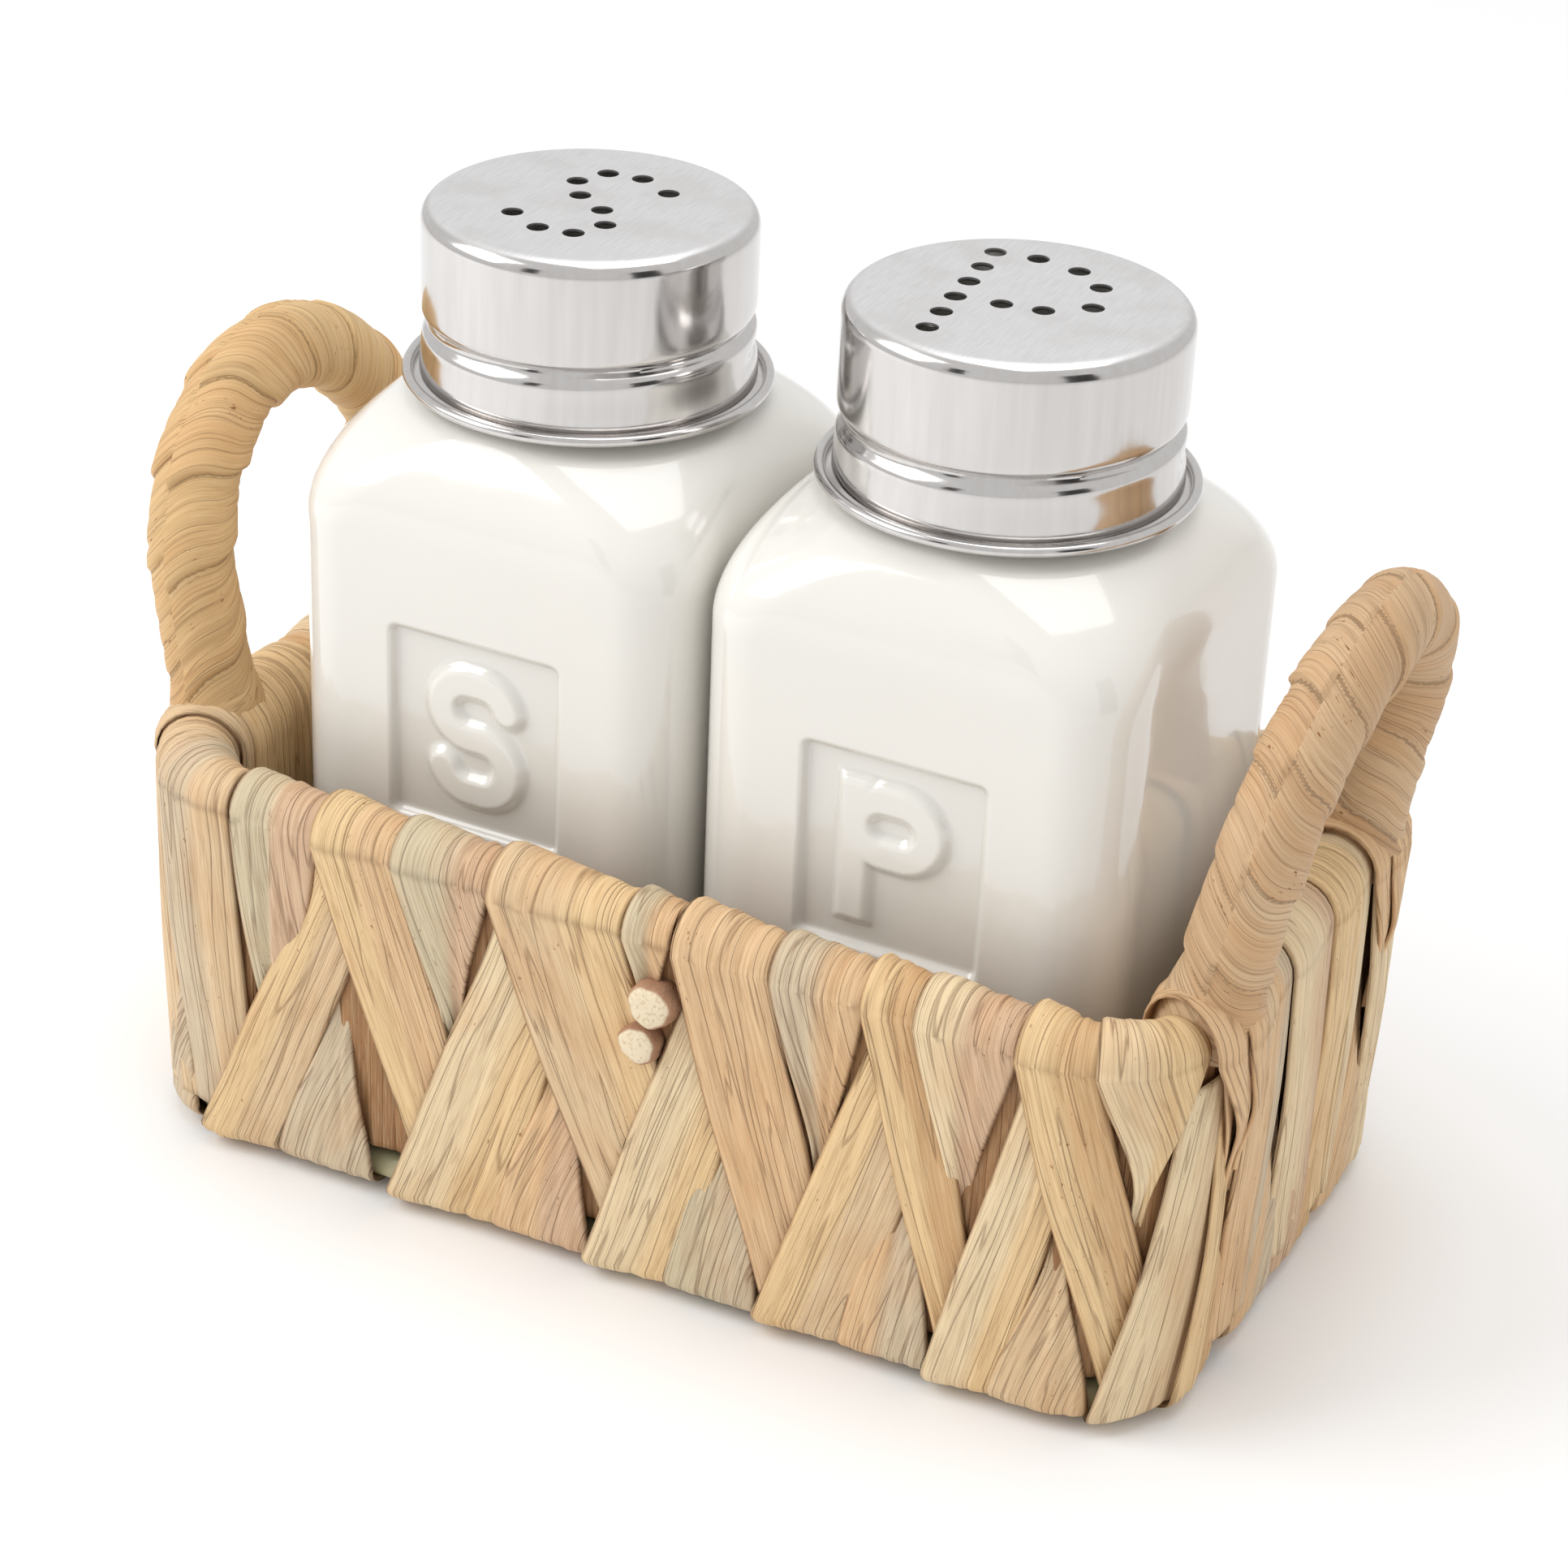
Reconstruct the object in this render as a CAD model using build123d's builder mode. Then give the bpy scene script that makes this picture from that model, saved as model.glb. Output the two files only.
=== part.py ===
"""Salt and pepper shakers in a leaf-woven wire basket with two end handles.

Two square glazed bottles stand side by side in the basket. Each has a screw lid of rolled
sheet steel. The X axis runs from the salt bottle to the pepper bottle, the letters face -Y,
and the origin is on the ground under the middle of the basket. All sizes are in millimetres.
"""
from build123d import *
import os
from math import cos, radians, sin

os.makedirs("parts", exist_ok=True)

# ---- driving dimensions: bottles ----
bottle_width = 51.0
bottle_corner = 8.0
bottle_wall = 4.0
bottle_floor = 4.5
bottle_foot_round = 2.5
side_height = 74.5
shoulder_height = 13.0
shoulder_profile = ((0, 0), (0.4, 0.12), (0.72, 0.42), (1, 1))
shoulder_rounding = 0.6
nearly_round_gap = 0.35
neck_wall = 2.6
bottle_gap = 1.4

# ---- driving dimensions: letter panel on each bottle's front ----
panel_width = 21.5
panel_height = 23.7
panel_centre_height = 52.5
panel_depth = 1.1
panel_round = 0.8
letter_height = 18.0
letter_stroke = 4.1
letter_s_flat = 1.6
letter_s_end_angle = 15
letter_p_width = 0.72 * letter_height
letter_p_bowl = 0.6 * letter_height

# ---- driving dimensions: screw lids ----
lid_radius = 19.0
lid_sheet = 0.45
lid_edge_round = 1.5
lid_height = 20.5
lid_curl_radius = 1.0
lid_curl_reach = 2.2
lid_neck_clearance = 0.9
sprinkle_hole = 2.5
hole_margin = 0.15
washer_thickness = 0.8
washer_width = 2.3
washer_bore_clearance = 0.3

# ---- driving dimensions: screw thread ----
thread_pitch = 3.6
thread_turns = 1.25
thread_depth = 1.05
thread_clearance = 0.3
thread_below_lip = 8.5
thread_root_bite = 0.3
ridge_base = 1.5
ridge_crest = 0.7
roll_base = 1.9
roll_crest = 0.8
roll_sheet_thickness = 1.4 * lid_sheet

# ---- driving dimensions: basket ----
end_clearance = 8.3
side_clearance = 6.5
wall_thickness = 6.0
rim_height = 49.5
floor_thickness = 4.5
basket_corner = 14.0
frame_wire = 3.5
cross_wire = 2.5
cross_wire_count = 3
cross_wire_spacing = 30.0
leaf_clearance = 0.05
joining_overlap = 1.0

# ---- driving dimensions: handles ----
handle_half_width = 22.0
handle_leg = 17.5
handle_lean = 10.0
handle_wrap_diameter = 11.0

# ---- places worked out from the sizes above ----
bottle_centre = (bottle_width + bottle_gap) / 2
shoulder_start = floor_thickness + side_height
neck_start = shoulder_start + shoulder_height
lid_bottom = neck_start + lid_neck_clearance
lid_top = lid_bottom + lid_height
neck_top = lid_top - lid_sheet - washer_thickness
neck_length = neck_top - neck_start
lid_inner_radius = lid_radius - lid_sheet
neck_crest_radius = lid_inner_radius - thread_clearance
neck_root_radius = neck_crest_radius - thread_depth
lid_crest_radius = neck_root_radius + thread_clearance
neck_bore_radius = neck_root_radius - neck_wall
shoulder_top_radius = lid_radius
inner_half_length = bottle_centre + bottle_width / 2 + end_clearance
inner_half_depth = bottle_width / 2 + side_clearance
band_half_length = inner_half_length + wall_thickness / 2
band_half_depth = inner_half_depth + wall_thickness / 2
straight_half_length = inner_half_length + wall_thickness - basket_corner
straight_half_depth = inner_half_depth + wall_thickness - basket_corner
band_radius = basket_corner - wall_thickness / 2
base_wire_height = wall_thickness / 2
rim_wire_height = rim_height - wall_thickness / 2
channel_width = frame_wire + 2 * leaf_clearance

shakers = {"salt": -bottle_centre, "pepper": bottle_centre}
sides = {"left": -1, "right": 1}


def save(piece, name):
    """Label a finished piece and write it to its own file."""
    piece.label = name
    export_step(piece, f"parts/{name}.step")


def level(centre_x, height):
    """The horizontal plane at a height, centred on a shaker's upright axis."""
    return Plane((centre_x, 0, height))


# ---------------------------------------------------------------------------------------
# Basket frame: a rim wire and a base wire, joined by four posts, with wires across the base
# ---------------------------------------------------------------------------------------


for wire_name, wire_height in {"rim_wire": rim_wire_height, "base_wire": base_wire_height}.items():
    with BuildPart() as wire_ring:
        with BuildLine(Plane.XY.offset(wire_height)) as ring:
            FilletPolyline(
                (band_half_length, -band_half_depth),
                (band_half_length, band_half_depth),
                (-band_half_length, band_half_depth),
                (-band_half_length, -band_half_depth),
                radius=band_radius,
                close=True,
            )
        with BuildSketch(Plane(ring.line @ 0, z_dir=ring.line % 0)):
            Circle(frame_wire / 2)
        sweep(path=ring.line)
    save(wire_ring.part, wire_name)

corner_reach = band_radius * cos(radians(45))
for end_name, end_side in sides.items():
    for face_name, face_side in {"front": -1, "back": 1}.items():
        post_x = end_side * (straight_half_length + corner_reach)
        post_y = face_side * (straight_half_depth + corner_reach)
        with BuildPart() as corner_post:
            with BuildSketch(Plane((post_x, post_y, base_wire_height + frame_wire / 2))):
                Circle(frame_wire / 2)
            extrude(amount=rim_wire_height - base_wire_height - frame_wire)
        save(corner_post.part, f"{face_name}_{end_name}_post")

cross_wire_half_length = band_half_depth - frame_wire / 2
with BuildPart() as base_cross_wires:
    with BuildSketch(Plane.XZ.offset(-cross_wire_half_length)):
        with Locations((0, floor_thickness / 2)):
            with GridLocations(cross_wire_spacing, 1, cross_wire_count, 1):
                Circle(cross_wire / 2)
    extrude(amount=2 * cross_wire_half_length)
save(base_cross_wires.part, "base_cross_wires")

# ---------------------------------------------------------------------------------------
# Woven walls: leaf strips carried over the rim wire and under the base wire, two layers
# thick with the wires between them, as four straight runs and four rounded corners
# ---------------------------------------------------------------------------------------


def wall_section(middle):
    """The wall cut across: a rounded band, hollow where the frame wires lie."""
    with Locations((middle, rim_height / 2)):
        SlotOverall(rim_height, wall_thickness, rotation=90)
        SlotOverall(
            rim_height - wall_thickness + channel_width,
            channel_width,
            rotation=90,
            mode=Mode.SUBTRACT,
        )


def cross_wire_holes():
    """Holes for the base cross wires through the inner leaf layer of a long wall."""
    with BuildSketch(Plane.XZ.offset(-band_half_depth)) as holes:
        with Locations((0, floor_thickness / 2)):
            with GridLocations(cross_wire_spacing, 1, cross_wire_count, 1):
                Circle(cross_wire / 2 + leaf_clearance)
    extrude(holes.sketch, amount=2 * band_half_depth, mode=Mode.SUBTRACT)


def handle_plane(side):
    """The leaning plane of a handle: local x along +Y, local y up the lean."""
    lean = radians(handle_lean)
    foot = (side * band_half_length, 0, rim_wire_height)
    return Plane(foot, x_dir=(0, 1, 0), z_dir=(cos(lean), 0, -side * sin(lean)))


def handle_leg_planes(side):
    """The two planes across a handle's feet, facing up its legs."""
    lean = radians(handle_lean)
    leg_direction = (side * sin(lean), 0, cos(lean))
    return [
        Plane((side * band_half_length, y, rim_wire_height), x_dir=(0, 1, 0), z_dir=leg_direction)
        for y in (-handle_half_width, handle_half_width)
    ]


for face_name, face_side in {"front": -1, "back": 1}.items():
    with BuildPart() as long_wall:
        with BuildSketch(Plane.YZ.offset(-straight_half_length)):
            wall_section(face_side * band_half_depth)
        extrude(amount=2 * straight_half_length)
        cross_wire_holes()
    save(long_wall.part, f"{face_name}_weave")

for end_name, end_side in sides.items():
    with BuildPart() as end_wall:
        with BuildSketch(Plane.XZ.offset(-straight_half_depth)):
            wall_section(end_side * band_half_length)
        extrude(amount=2 * straight_half_depth)
        for foot_plane in handle_leg_planes(end_side):
            with BuildSketch(foot_plane):
                Circle(frame_wire / 2 + leaf_clearance)
            extrude(amount=wall_thickness, mode=Mode.SUBTRACT)
    save(end_wall.part, f"{end_name}_weave")

for end_name, end_side in sides.items():
    for face_name, face_side in {"front": -1, "back": 1}.items():
        corner = (end_side * straight_half_length, face_side * straight_half_depth, 0)
        turn = 90 if end_side == face_side else -90
        with BuildPart() as corner_weave:
            with BuildSketch(Plane(corner, x_dir=(end_side, 0, 0), z_dir=(0, -end_side, 0))):
                wall_section(band_radius)
            revolve(axis=Axis(corner, (0, 0, 1)), revolution_arc=turn)
        save(corner_weave.part, f"{face_name}_{end_name}_corner_weave")

with BuildPart() as base_weave:
    with BuildSketch():
        RectangleRounded(
            2 * (inner_half_length - leaf_clearance),
            2 * (inner_half_depth - leaf_clearance),
            basket_corner - wall_thickness - leaf_clearance,
        )
    extrude(amount=floor_thickness)
    cross_wire_holes()
save(base_weave.part, "base_weave")

# ---------------------------------------------------------------------------------------
# Handles: a hoop of frame wire on each end, its feet on the rim wire, wrapped in leaf
# ---------------------------------------------------------------------------------------


def handle_path(side, foot):
    """The hoop's middle line: two straight legs and a half circle."""
    with BuildLine(handle_plane(side)) as hoop:
        Line((-handle_half_width, foot), (-handle_half_width, handle_leg))
        ThreePointArc(
            (-handle_half_width, handle_leg),
            (0, handle_leg + handle_half_width),
            (handle_half_width, handle_leg),
        )
        Line((handle_half_width, handle_leg), (handle_half_width, foot))
    return hoop.line


for end_name, end_side in sides.items():
    wire_line = handle_path(end_side, frame_wire / 2)
    with BuildPart() as handle_wire:
        with BuildSketch(Plane(wire_line @ 0, z_dir=wire_line % 0)):
            Circle(frame_wire / 2)
        sweep(path=wire_line)
    save(handle_wire.part, f"{end_name}_handle_wire")

    wrap_line = handle_path(end_side, 0)
    with BuildPart() as handle_wrap:
        with BuildSketch(Plane(wrap_line @ 0, z_dir=wrap_line % 0)):
            Circle(handle_wrap_diameter / 2)
            Circle(frame_wire / 2 + leaf_clearance, mode=Mode.SUBTRACT)
        sweep(path=wrap_line)
        split(bisect_by=Plane.XY.offset(rim_height), keep=Keep.TOP)
    save(handle_wrap.part, f"{end_name}_handle_wrap")

# ---------------------------------------------------------------------------------------
# Bottles: slip-cast, square with a domed shoulder, a raised letter in a sunk front panel
# ---------------------------------------------------------------------------------------


def rounded_square(width, corner_radius):
    """A square with round corners, one level of the bottle."""
    RectangleRounded(width, width, corner_radius)


def shoulder_levels(inset):
    """Width, corner radius and height of each level of the shoulder, from side to neck.

    The last level is a square whose corners are just short of meeting, so nearly a circle.
    The profile gives shares of the shoulder's height and of its narrowing."""
    last_radius = shoulder_top_radius - inset
    last_width = 2 * last_radius + nearly_round_gap
    first_radius = bottle_corner - inset / 2
    first_width = bottle_width - 2 * inset
    levels = []
    for share, narrowing in shoulder_profile:
        width = first_width + narrowing * (last_width - first_width)
        rounding = narrowing ** shoulder_rounding
        radius = first_radius + rounding * (last_radius - first_radius)
        levels.append((width, radius, shoulder_start + share * shoulder_height - inset))
    return levels


def letter_s(stroke):
    """An S of two round bowls, drawn as one line of even stroke."""
    bowl = (letter_height - stroke) / 4
    reach = letter_s_flat / 2
    end = letter_s_end_angle
    with BuildLine() as spine:
        CenterArc((reach, bowl), bowl, end, 90 - end)
        Line((reach, 2 * bowl), (-reach, 2 * bowl))
        CenterArc((-reach, bowl), bowl, 90, 180)
        Line((-reach, 0), (reach, 0))
        CenterArc((reach, -bowl), bowl, 90, -180)
        Line((reach, -2 * bowl), (-reach, -2 * bowl))
        CenterArc((-reach, -bowl), bowl, 270, end - 90)
    trace(spine.line, line_width=stroke)


def letter_p(stroke):
    """A P: a straight stem, and a bowl made of a slot with a smaller slot taken out of it."""
    bowl_middle = (letter_height - letter_p_bowl) / 2
    counter_width = letter_p_width - 2 * stroke
    counter_height = letter_p_bowl - 2 * stroke
    stem_middle = (stroke - letter_p_width) / 2
    with Locations((0, bowl_middle)):
        SlotOverall(letter_p_width, letter_p_bowl)
        SlotOverall(counter_width, counter_height, mode=Mode.SUBTRACT)
    with Locations((stem_middle, 0)):
        Rectangle(stroke, letter_height)
    with Locations((stem_middle, bowl_middle)):
        Rectangle(stroke, letter_p_bowl)


letters = {"salt": letter_s, "pepper": letter_p}

thread_height = thread_pitch * thread_turns
thread_start = neck_top - thread_below_lip - thread_height


def thread_ridge(centre_x, start_height, start, end, base, crest, mode):
    """A ridge of trapezium section carried up the thread's helix.

    The section is as wide as the base where it starts and as the crest where it ends."""
    axis_foot = Vector(centre_x, 0, start_height)
    with BuildLine() as helix_line:
        Helix(pitch=thread_pitch, height=thread_height, radius=end, center=axis_foot)
    with BuildSketch(Plane(axis_foot, x_dir=(1, 0, 0), z_dir=(0, -1, 0))) as tooth:
        with BuildLine():
            Polyline(
                (start, -base / 2),
                (end, -crest / 2),
                (end, crest / 2),
                (start, base / 2),
                close=True,
            )
        make_face()
    sweep(tooth.sketch, path=helix_line.line, is_frenet=True, mode=mode)


for name, centre_x in shakers.items():
    with BuildPart() as bottle:
        # outside: foot, sides, shoulder, neck
        with BuildSketch(level(centre_x, floor_thickness)):
            rounded_square(bottle_width, bottle_corner)
        extrude(amount=side_height)
        fillet(bottle.faces().sort_by(Axis.Z)[0].edges(), bottle_foot_round)
        for width, corner_radius, height in shoulder_levels(0):
            with BuildSketch(level(centre_x, height)):
                rounded_square(width, corner_radius)
        loft()
        with BuildSketch(level(centre_x, neck_top)):
            Circle(neck_root_radius)
        extrude(amount=-(neck_length + joining_overlap))
        thread_ridge(
            centre_x,
            thread_start,
            neck_root_radius - thread_root_bite,
            neck_crest_radius,
            ridge_base,
            ridge_crest,
            Mode.ADD,
        )
        # inside: the cavity follows the outside, one wall in
        inner_width = bottle_width - 2 * bottle_wall
        inner_corner = bottle_corner - bottle_wall / 2
        with BuildSketch(level(centre_x, floor_thickness + bottle_floor)):
            rounded_square(inner_width, inner_corner)
        extrude(amount=side_height - bottle_floor - bottle_wall, mode=Mode.SUBTRACT)
        for width, corner_radius, height in shoulder_levels(bottle_wall):
            with BuildSketch(level(centre_x, height)):
                rounded_square(width, corner_radius)
        loft(mode=Mode.SUBTRACT)
        with BuildSketch(level(centre_x, neck_top)):
            Circle(neck_bore_radius)
        extrude(amount=-(neck_length + bottle_wall + joining_overlap), mode=Mode.SUBTRACT)
        # the sunk panel, with the letter left standing
        front = Plane(
            (centre_x, -bottle_width / 2, floor_thickness + panel_centre_height),
            x_dir=(1, 0, 0),
            z_dir=(0, -1, 0),
        )
        with BuildSketch(front):
            RectangleRounded(panel_width, panel_height, panel_round)
        extrude(amount=-panel_depth, mode=Mode.SUBTRACT)
        with BuildSketch(front.offset(-panel_depth)):
            letters[name](letter_stroke)
        extrude(amount=panel_depth)
    save(bottle.part, f"{name}_bottle")

# ---------------------------------------------------------------------------------------
# Lids: one sheet-steel pressing with a rolled thread and a curled lower edge, and a soft
# washer between the lid's top and the neck's lip
# ---------------------------------------------------------------------------------------


def lid_line():
    """The middle line of the lid's sheet, from the axis to the end of the curl."""
    skin = lid_sheet / 2
    side = lid_radius - skin
    top = lid_top - skin
    bend = lid_edge_round - skin
    roll = lid_curl_radius - skin
    curl_x = lid_radius + lid_curl_reach - lid_curl_radius
    curl_z = lid_bottom + lid_curl_radius
    flare_end = (curl_x - roll, curl_z)
    Line((0, top), (side - bend, top))
    CenterArc((side - bend, top - bend), bend, 90, -90)
    Line((side, top - bend), (side, curl_z + 3 * roll))
    Line((side, curl_z + 3 * roll), flare_end)
    CenterArc((curl_x, curl_z), roll, 180, 270)


def s_holes():
    """Ten holes along an S: five of them, and the same five turned half way round.

    Places are shares of the reach from the lid's axis to its farthest hole."""
    half = [(0.56, 0.40), (0.27, 0.67), (-0.04, 0.71), (-0.24, 0.46), (-0.13, 0.14)]
    return half + [(-x, -y) for x, y in half]


def p_holes():
    """Twelve holes along a P: six up the stem and six round the bowl, as shares likewise."""
    stem = [(-0.48, 0.87 - 0.348 * step) for step in range(6)]
    bowl = [(-0.12, 0.88), (0.26, 0.76), (0.52, 0.49), (0.58, 0.06), (0.24, -0.16), (-0.10, -0.17)]
    return stem + bowl


hole_shares = {"salt": s_holes(), "pepper": p_holes()}
letter_turn = {"salt": 15, "pepper": 7}
hole_reach = neck_bore_radius + washer_bore_clearance - sprinkle_hole / 2 - hole_margin

for name, centre_x in shakers.items():
    with BuildPart() as washer:
        with BuildSketch(level(centre_x, neck_top)):
            Circle(neck_bore_radius + washer_bore_clearance + washer_width)
            Circle(neck_bore_radius + washer_bore_clearance, mode=Mode.SUBTRACT)
        extrude(amount=washer_thickness)
    save(washer.part, f"{name}_washer")

    with BuildPart() as lid:
        # the pressed sheet, with its curl
        with BuildSketch(Plane((centre_x, 0, 0), x_dir=(1, 0, 0), z_dir=(0, -1, 0))):
            with BuildLine():
                lid_line()
            trace(line_width=lid_sheet)
        revolve(axis=Axis((centre_x, 0, 0), (0, 0, 1)))
        # the rolled thread: a ridge inside and the groove that the roller leaves outside
        thread_ridge(
            centre_x,
            thread_start - thread_pitch / 2,
            lid_radius - lid_sheet / 2,
            lid_crest_radius,
            roll_base,
            roll_crest,
            Mode.ADD,
        )
        thread_ridge(
            centre_x,
            thread_start - thread_pitch / 2,
            lid_radius + lid_sheet,
            lid_crest_radius + roll_sheet_thickness,
            roll_base,
            roll_crest / 2,
            Mode.SUBTRACT,
        )
        with BuildSketch(level(centre_x, lid_top)):
            with Locations(Location((0, 0, 0), (0, 0, letter_turn[name]))):
                with Locations(*[(hole_reach * x, hole_reach * y) for x, y in hole_shares[name]]):
                    Circle(sprinkle_hole / 2)
        extrude(amount=-2 * lid_sheet, mode=Mode.SUBTRACT)
    save(lid.part, f"{name}_lid")
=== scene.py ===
"""Salt and pepper shakers in a leaf-woven basket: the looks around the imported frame."""
import bpy
import bmesh
import numpy as np
from mathutils import Matrix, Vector
from mathutils.geometry import delaunay_2d_cdt


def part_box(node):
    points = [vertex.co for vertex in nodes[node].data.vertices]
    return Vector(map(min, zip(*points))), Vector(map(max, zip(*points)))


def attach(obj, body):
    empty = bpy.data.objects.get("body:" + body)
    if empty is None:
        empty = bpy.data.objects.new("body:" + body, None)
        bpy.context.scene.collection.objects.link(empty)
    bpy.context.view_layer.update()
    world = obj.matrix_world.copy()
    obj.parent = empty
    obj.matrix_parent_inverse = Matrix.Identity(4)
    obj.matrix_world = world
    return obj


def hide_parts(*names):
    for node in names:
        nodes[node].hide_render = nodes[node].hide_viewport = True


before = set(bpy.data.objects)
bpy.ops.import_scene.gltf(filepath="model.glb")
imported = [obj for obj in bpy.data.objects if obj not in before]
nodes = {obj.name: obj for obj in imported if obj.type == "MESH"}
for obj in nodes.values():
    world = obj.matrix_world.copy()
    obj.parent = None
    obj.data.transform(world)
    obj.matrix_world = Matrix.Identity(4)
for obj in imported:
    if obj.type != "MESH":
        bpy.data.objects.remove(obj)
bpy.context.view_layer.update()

# ----------
# Basket frame: two rings of 3.5 mm steel wire, dipped in cream coating, with posts at the
# corners, wires across the base and a hoop in each handle, all welded. Only short lengths
# of the base ring show, in gaps between the leaves.
# ----------


class Shade:
    """An output socket of a material's nodes. + - and * with sockets or numbers add Math
    nodes, and add() makes any other node."""

    def __init__(self, tree, socket=None):
        self.tree = tree
        self.socket = socket

    def add(self, kind, sockets=(), output=0, **settings):
        """A node of a kind, its settings made first, then its sockets by name or index."""
        node = self.tree.nodes.new("ShaderNode" + kind)
        for name, value in settings.items():
            setattr(node, name, value)
        for name, value in dict(sockets).items():
            if isinstance(value, Shade):
                self.tree.links.new(value.socket, node.inputs[name])
            else:
                node.inputs[name].default_value = value
        return Shade(self.tree, node.outputs[output])

    def math(self, operation, *values):
        """A Math node on the values given."""
        return self.add("Math", enumerate(values), operation=operation)

    def paint(self, *screen):
        """A plain colour, given as 0 to 255 screen values."""
        colour = self.add("RGB")
        colour.socket.default_value = rgb(*screen)
        return colour

    def __add__(self, other):
        return self.math("ADD", self, other)

    def __radd__(self, other):
        return self.math("ADD", other, self)

    def __sub__(self, other):
        return self.math("SUBTRACT", self, other)

    def __rsub__(self, other):
        return self.math("SUBTRACT", other, self)

    def __mul__(self, other):
        return self.math("MULTIPLY", self, other)

    def __rmul__(self, other):
        return self.math("MULTIPLY", other, self)

    def step(self, low, high):
        """A smooth rise from 0 at low to 1 at high."""
        sockets = {"Value": self, "From Min": low, "From Max": high}
        return self.add("MapRange", sockets, interpolation_type="SMOOTHSTEP")

    def stretch(self, across, along, deep=1.0):
        """A vector socket scaled on each axis, which stretches the pattern that reads it."""
        return self.add("VectorMath", {0: self, 1: (across, along, deep)}, operation="MULTIPLY")

    def noise(self, scale=1.0, detail=2.0, roughness=0.5):
        """Smooth noise from 0 to 1 on a vector socket."""
        sockets = {"Vector": self, "Scale": scale, "Detail": detail, "Roughness": roughness}
        return self.add("TexNoise", sockets)

    def blend(self, other, share, mode="MIX"):
        """This colour mixed with another by a share."""
        sockets = {0: share, 6: self, 7: other}
        return self.add("Mix", sockets, output=2, data_type="RGBA", blend_type=mode)


def linear(red, green, blue):
    """A colour given as 0 to 255 screen values, as the linear values that shaders use."""
    value = np.array((red, green, blue)) / 255
    low = value / 12.92
    high = ((value + 0.055) / 1.055) ** 2.4
    return tuple(np.where(value <= 0.04045, low, high))


def rgb(*screen):
    """The same as a shader's colour, which has a fourth value."""
    return (*linear(*screen), 1)


def new_material(name):
    """A material with its Principled shader, and a Shade to grow its nodes from."""
    material = bpy.data.materials.new(name)
    material.use_nodes = True
    tree = material.node_tree
    shader = tree.nodes["Principled BSDF"]
    return material, shader, Shade(tree)


def feed(shader, **sockets):
    """Links or sets the shader's sockets, with _ for a space in a socket's name."""
    for name, value in sockets.items():
        socket = shader.inputs[name.replace("_", " ")]
        if isinstance(value, Shade):
            value.tree.links.new(value.socket, socket)
        else:
            socket.default_value = value


def dress(node, material):
    """Gives a CAD node a finish."""
    piece = nodes[node]
    piece.data.materials.clear()
    piece.data.materials.append(material)


coating, shader, root = new_material("cream_wire_coating")
place = root.add("TexCoord", output=3)
mottle = place.noise(180, 3)
worn = root.paint(206, 200, 158).blend(rgb(178, 168, 128), mottle.step(0.45, 0.75) * 0.5)
ripple = root.add("Bump", {"Height": place.noise(420, 2), "Distance": 0.00008, "Strength": 0.5})
feed(shader, Base_Color=worn, Roughness=mottle * 0.2 + 0.34, Normal=ripple, Coat_Weight=0.25)

frame_nodes = [n for n in nodes if n.endswith(("_wire", "_post", "_cross_wires"))]
for node in frame_nodes:
    dress(node, coating)

# ----------
# Woven walls: dried leaf strips 7 to 16 mm wide, creased and folded flat while damp. Some
# lean one way from the rim, some the other way from the base, and short tapered ends fill
# the gaps between them. Each is folded over the rim ring or under the base ring.
# ----------
MM = 0.001
wall_low, wall_high = (np.array(c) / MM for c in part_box("front_weave"))
end_low, end_high = (np.array(c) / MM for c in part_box("right_weave"))
corner_low, corner_high = (np.array(c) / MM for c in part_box("front_right_corner_weave"))
straight_x = wall_high[0]
straight_y = end_high[1]
corner_outer = corner_high[0] - straight_x
wall_half = (end_high[0] - end_low[0]) / 2
corner_middle = corner_outer - wall_half
rim_height = wall_high[2]
corner_run = corner_outer * np.pi / 2
front_run = 2 * straight_x
end_run = 2 * straight_y
round_trip = 2 * front_run + 2 * end_run + 4 * corner_run
roll_height = rim_height - wall_half
base_height = wall_half


def wall_place(along, outward):
    """Where a point of the wall is in plan. along runs from the middle of the front towards
    +X and all the way round, measured on the outer face. outward is from the wall's middle.
    The corner centres' rectangle and the direction outwards are both read along the wall."""
    runs = [0] + [front_run, corner_run, end_run, corner_run] * 2
    knots = np.cumsum(runs) - straight_x
    along = np.mod(along + straight_x, round_trip) - straight_x
    x = np.interp(along, knots, straight_x * np.array([-1, 1, 1, 1, 1, -1, -1, -1, -1]))
    y = np.interp(along, knots, straight_y * np.array([-1, -1, -1, 1, 1, 1, 1, -1, -1]))
    turn = np.radians(np.interp(along, knots, [-90, -90, 0, 0, 90, 90, 180, 180, 270]))
    reach = corner_middle + outward
    return x + reach * np.cos(turn), y + reach * np.sin(turn)


def smooth(value, low, high):
    """A smooth rise from 0 at low to 1 at high, for arrays."""
    share = np.clip((value - low) / (high - low), 0, 1)
    return share * share * (3 - 2 * share)


def wander(rng, count, reach, waves=3):
    """A slow random wave of count values: a few sines of falling size and random phase."""
    t = np.linspace(0, 1, count)
    total = np.zeros(count)
    for wave in range(1, waves + 1):
        total += np.sin(2 * np.pi * (t * wave * rng.uniform(0.5, 1.1) + rng.uniform())) / wave
    return reach * total / 1.6


def rim_route(height_end, inner_end):
    """A strip's route in the wall's section: up the inner face, over the rim roll, down the
    outer face. Gives the roll centre's height, the outward direction and the height."""
    inner = np.arange(inner_end, roll_height, 1.3)
    turns = np.linspace(np.pi, 0, 13)
    outer = np.arange(roll_height, height_end, -0.9)
    centre = np.concatenate([inner, np.full(13, roll_height), outer])
    angle = np.concatenate([np.full(len(inner), np.pi), turns, np.zeros(len(outer))])
    return centre, angle


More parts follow.
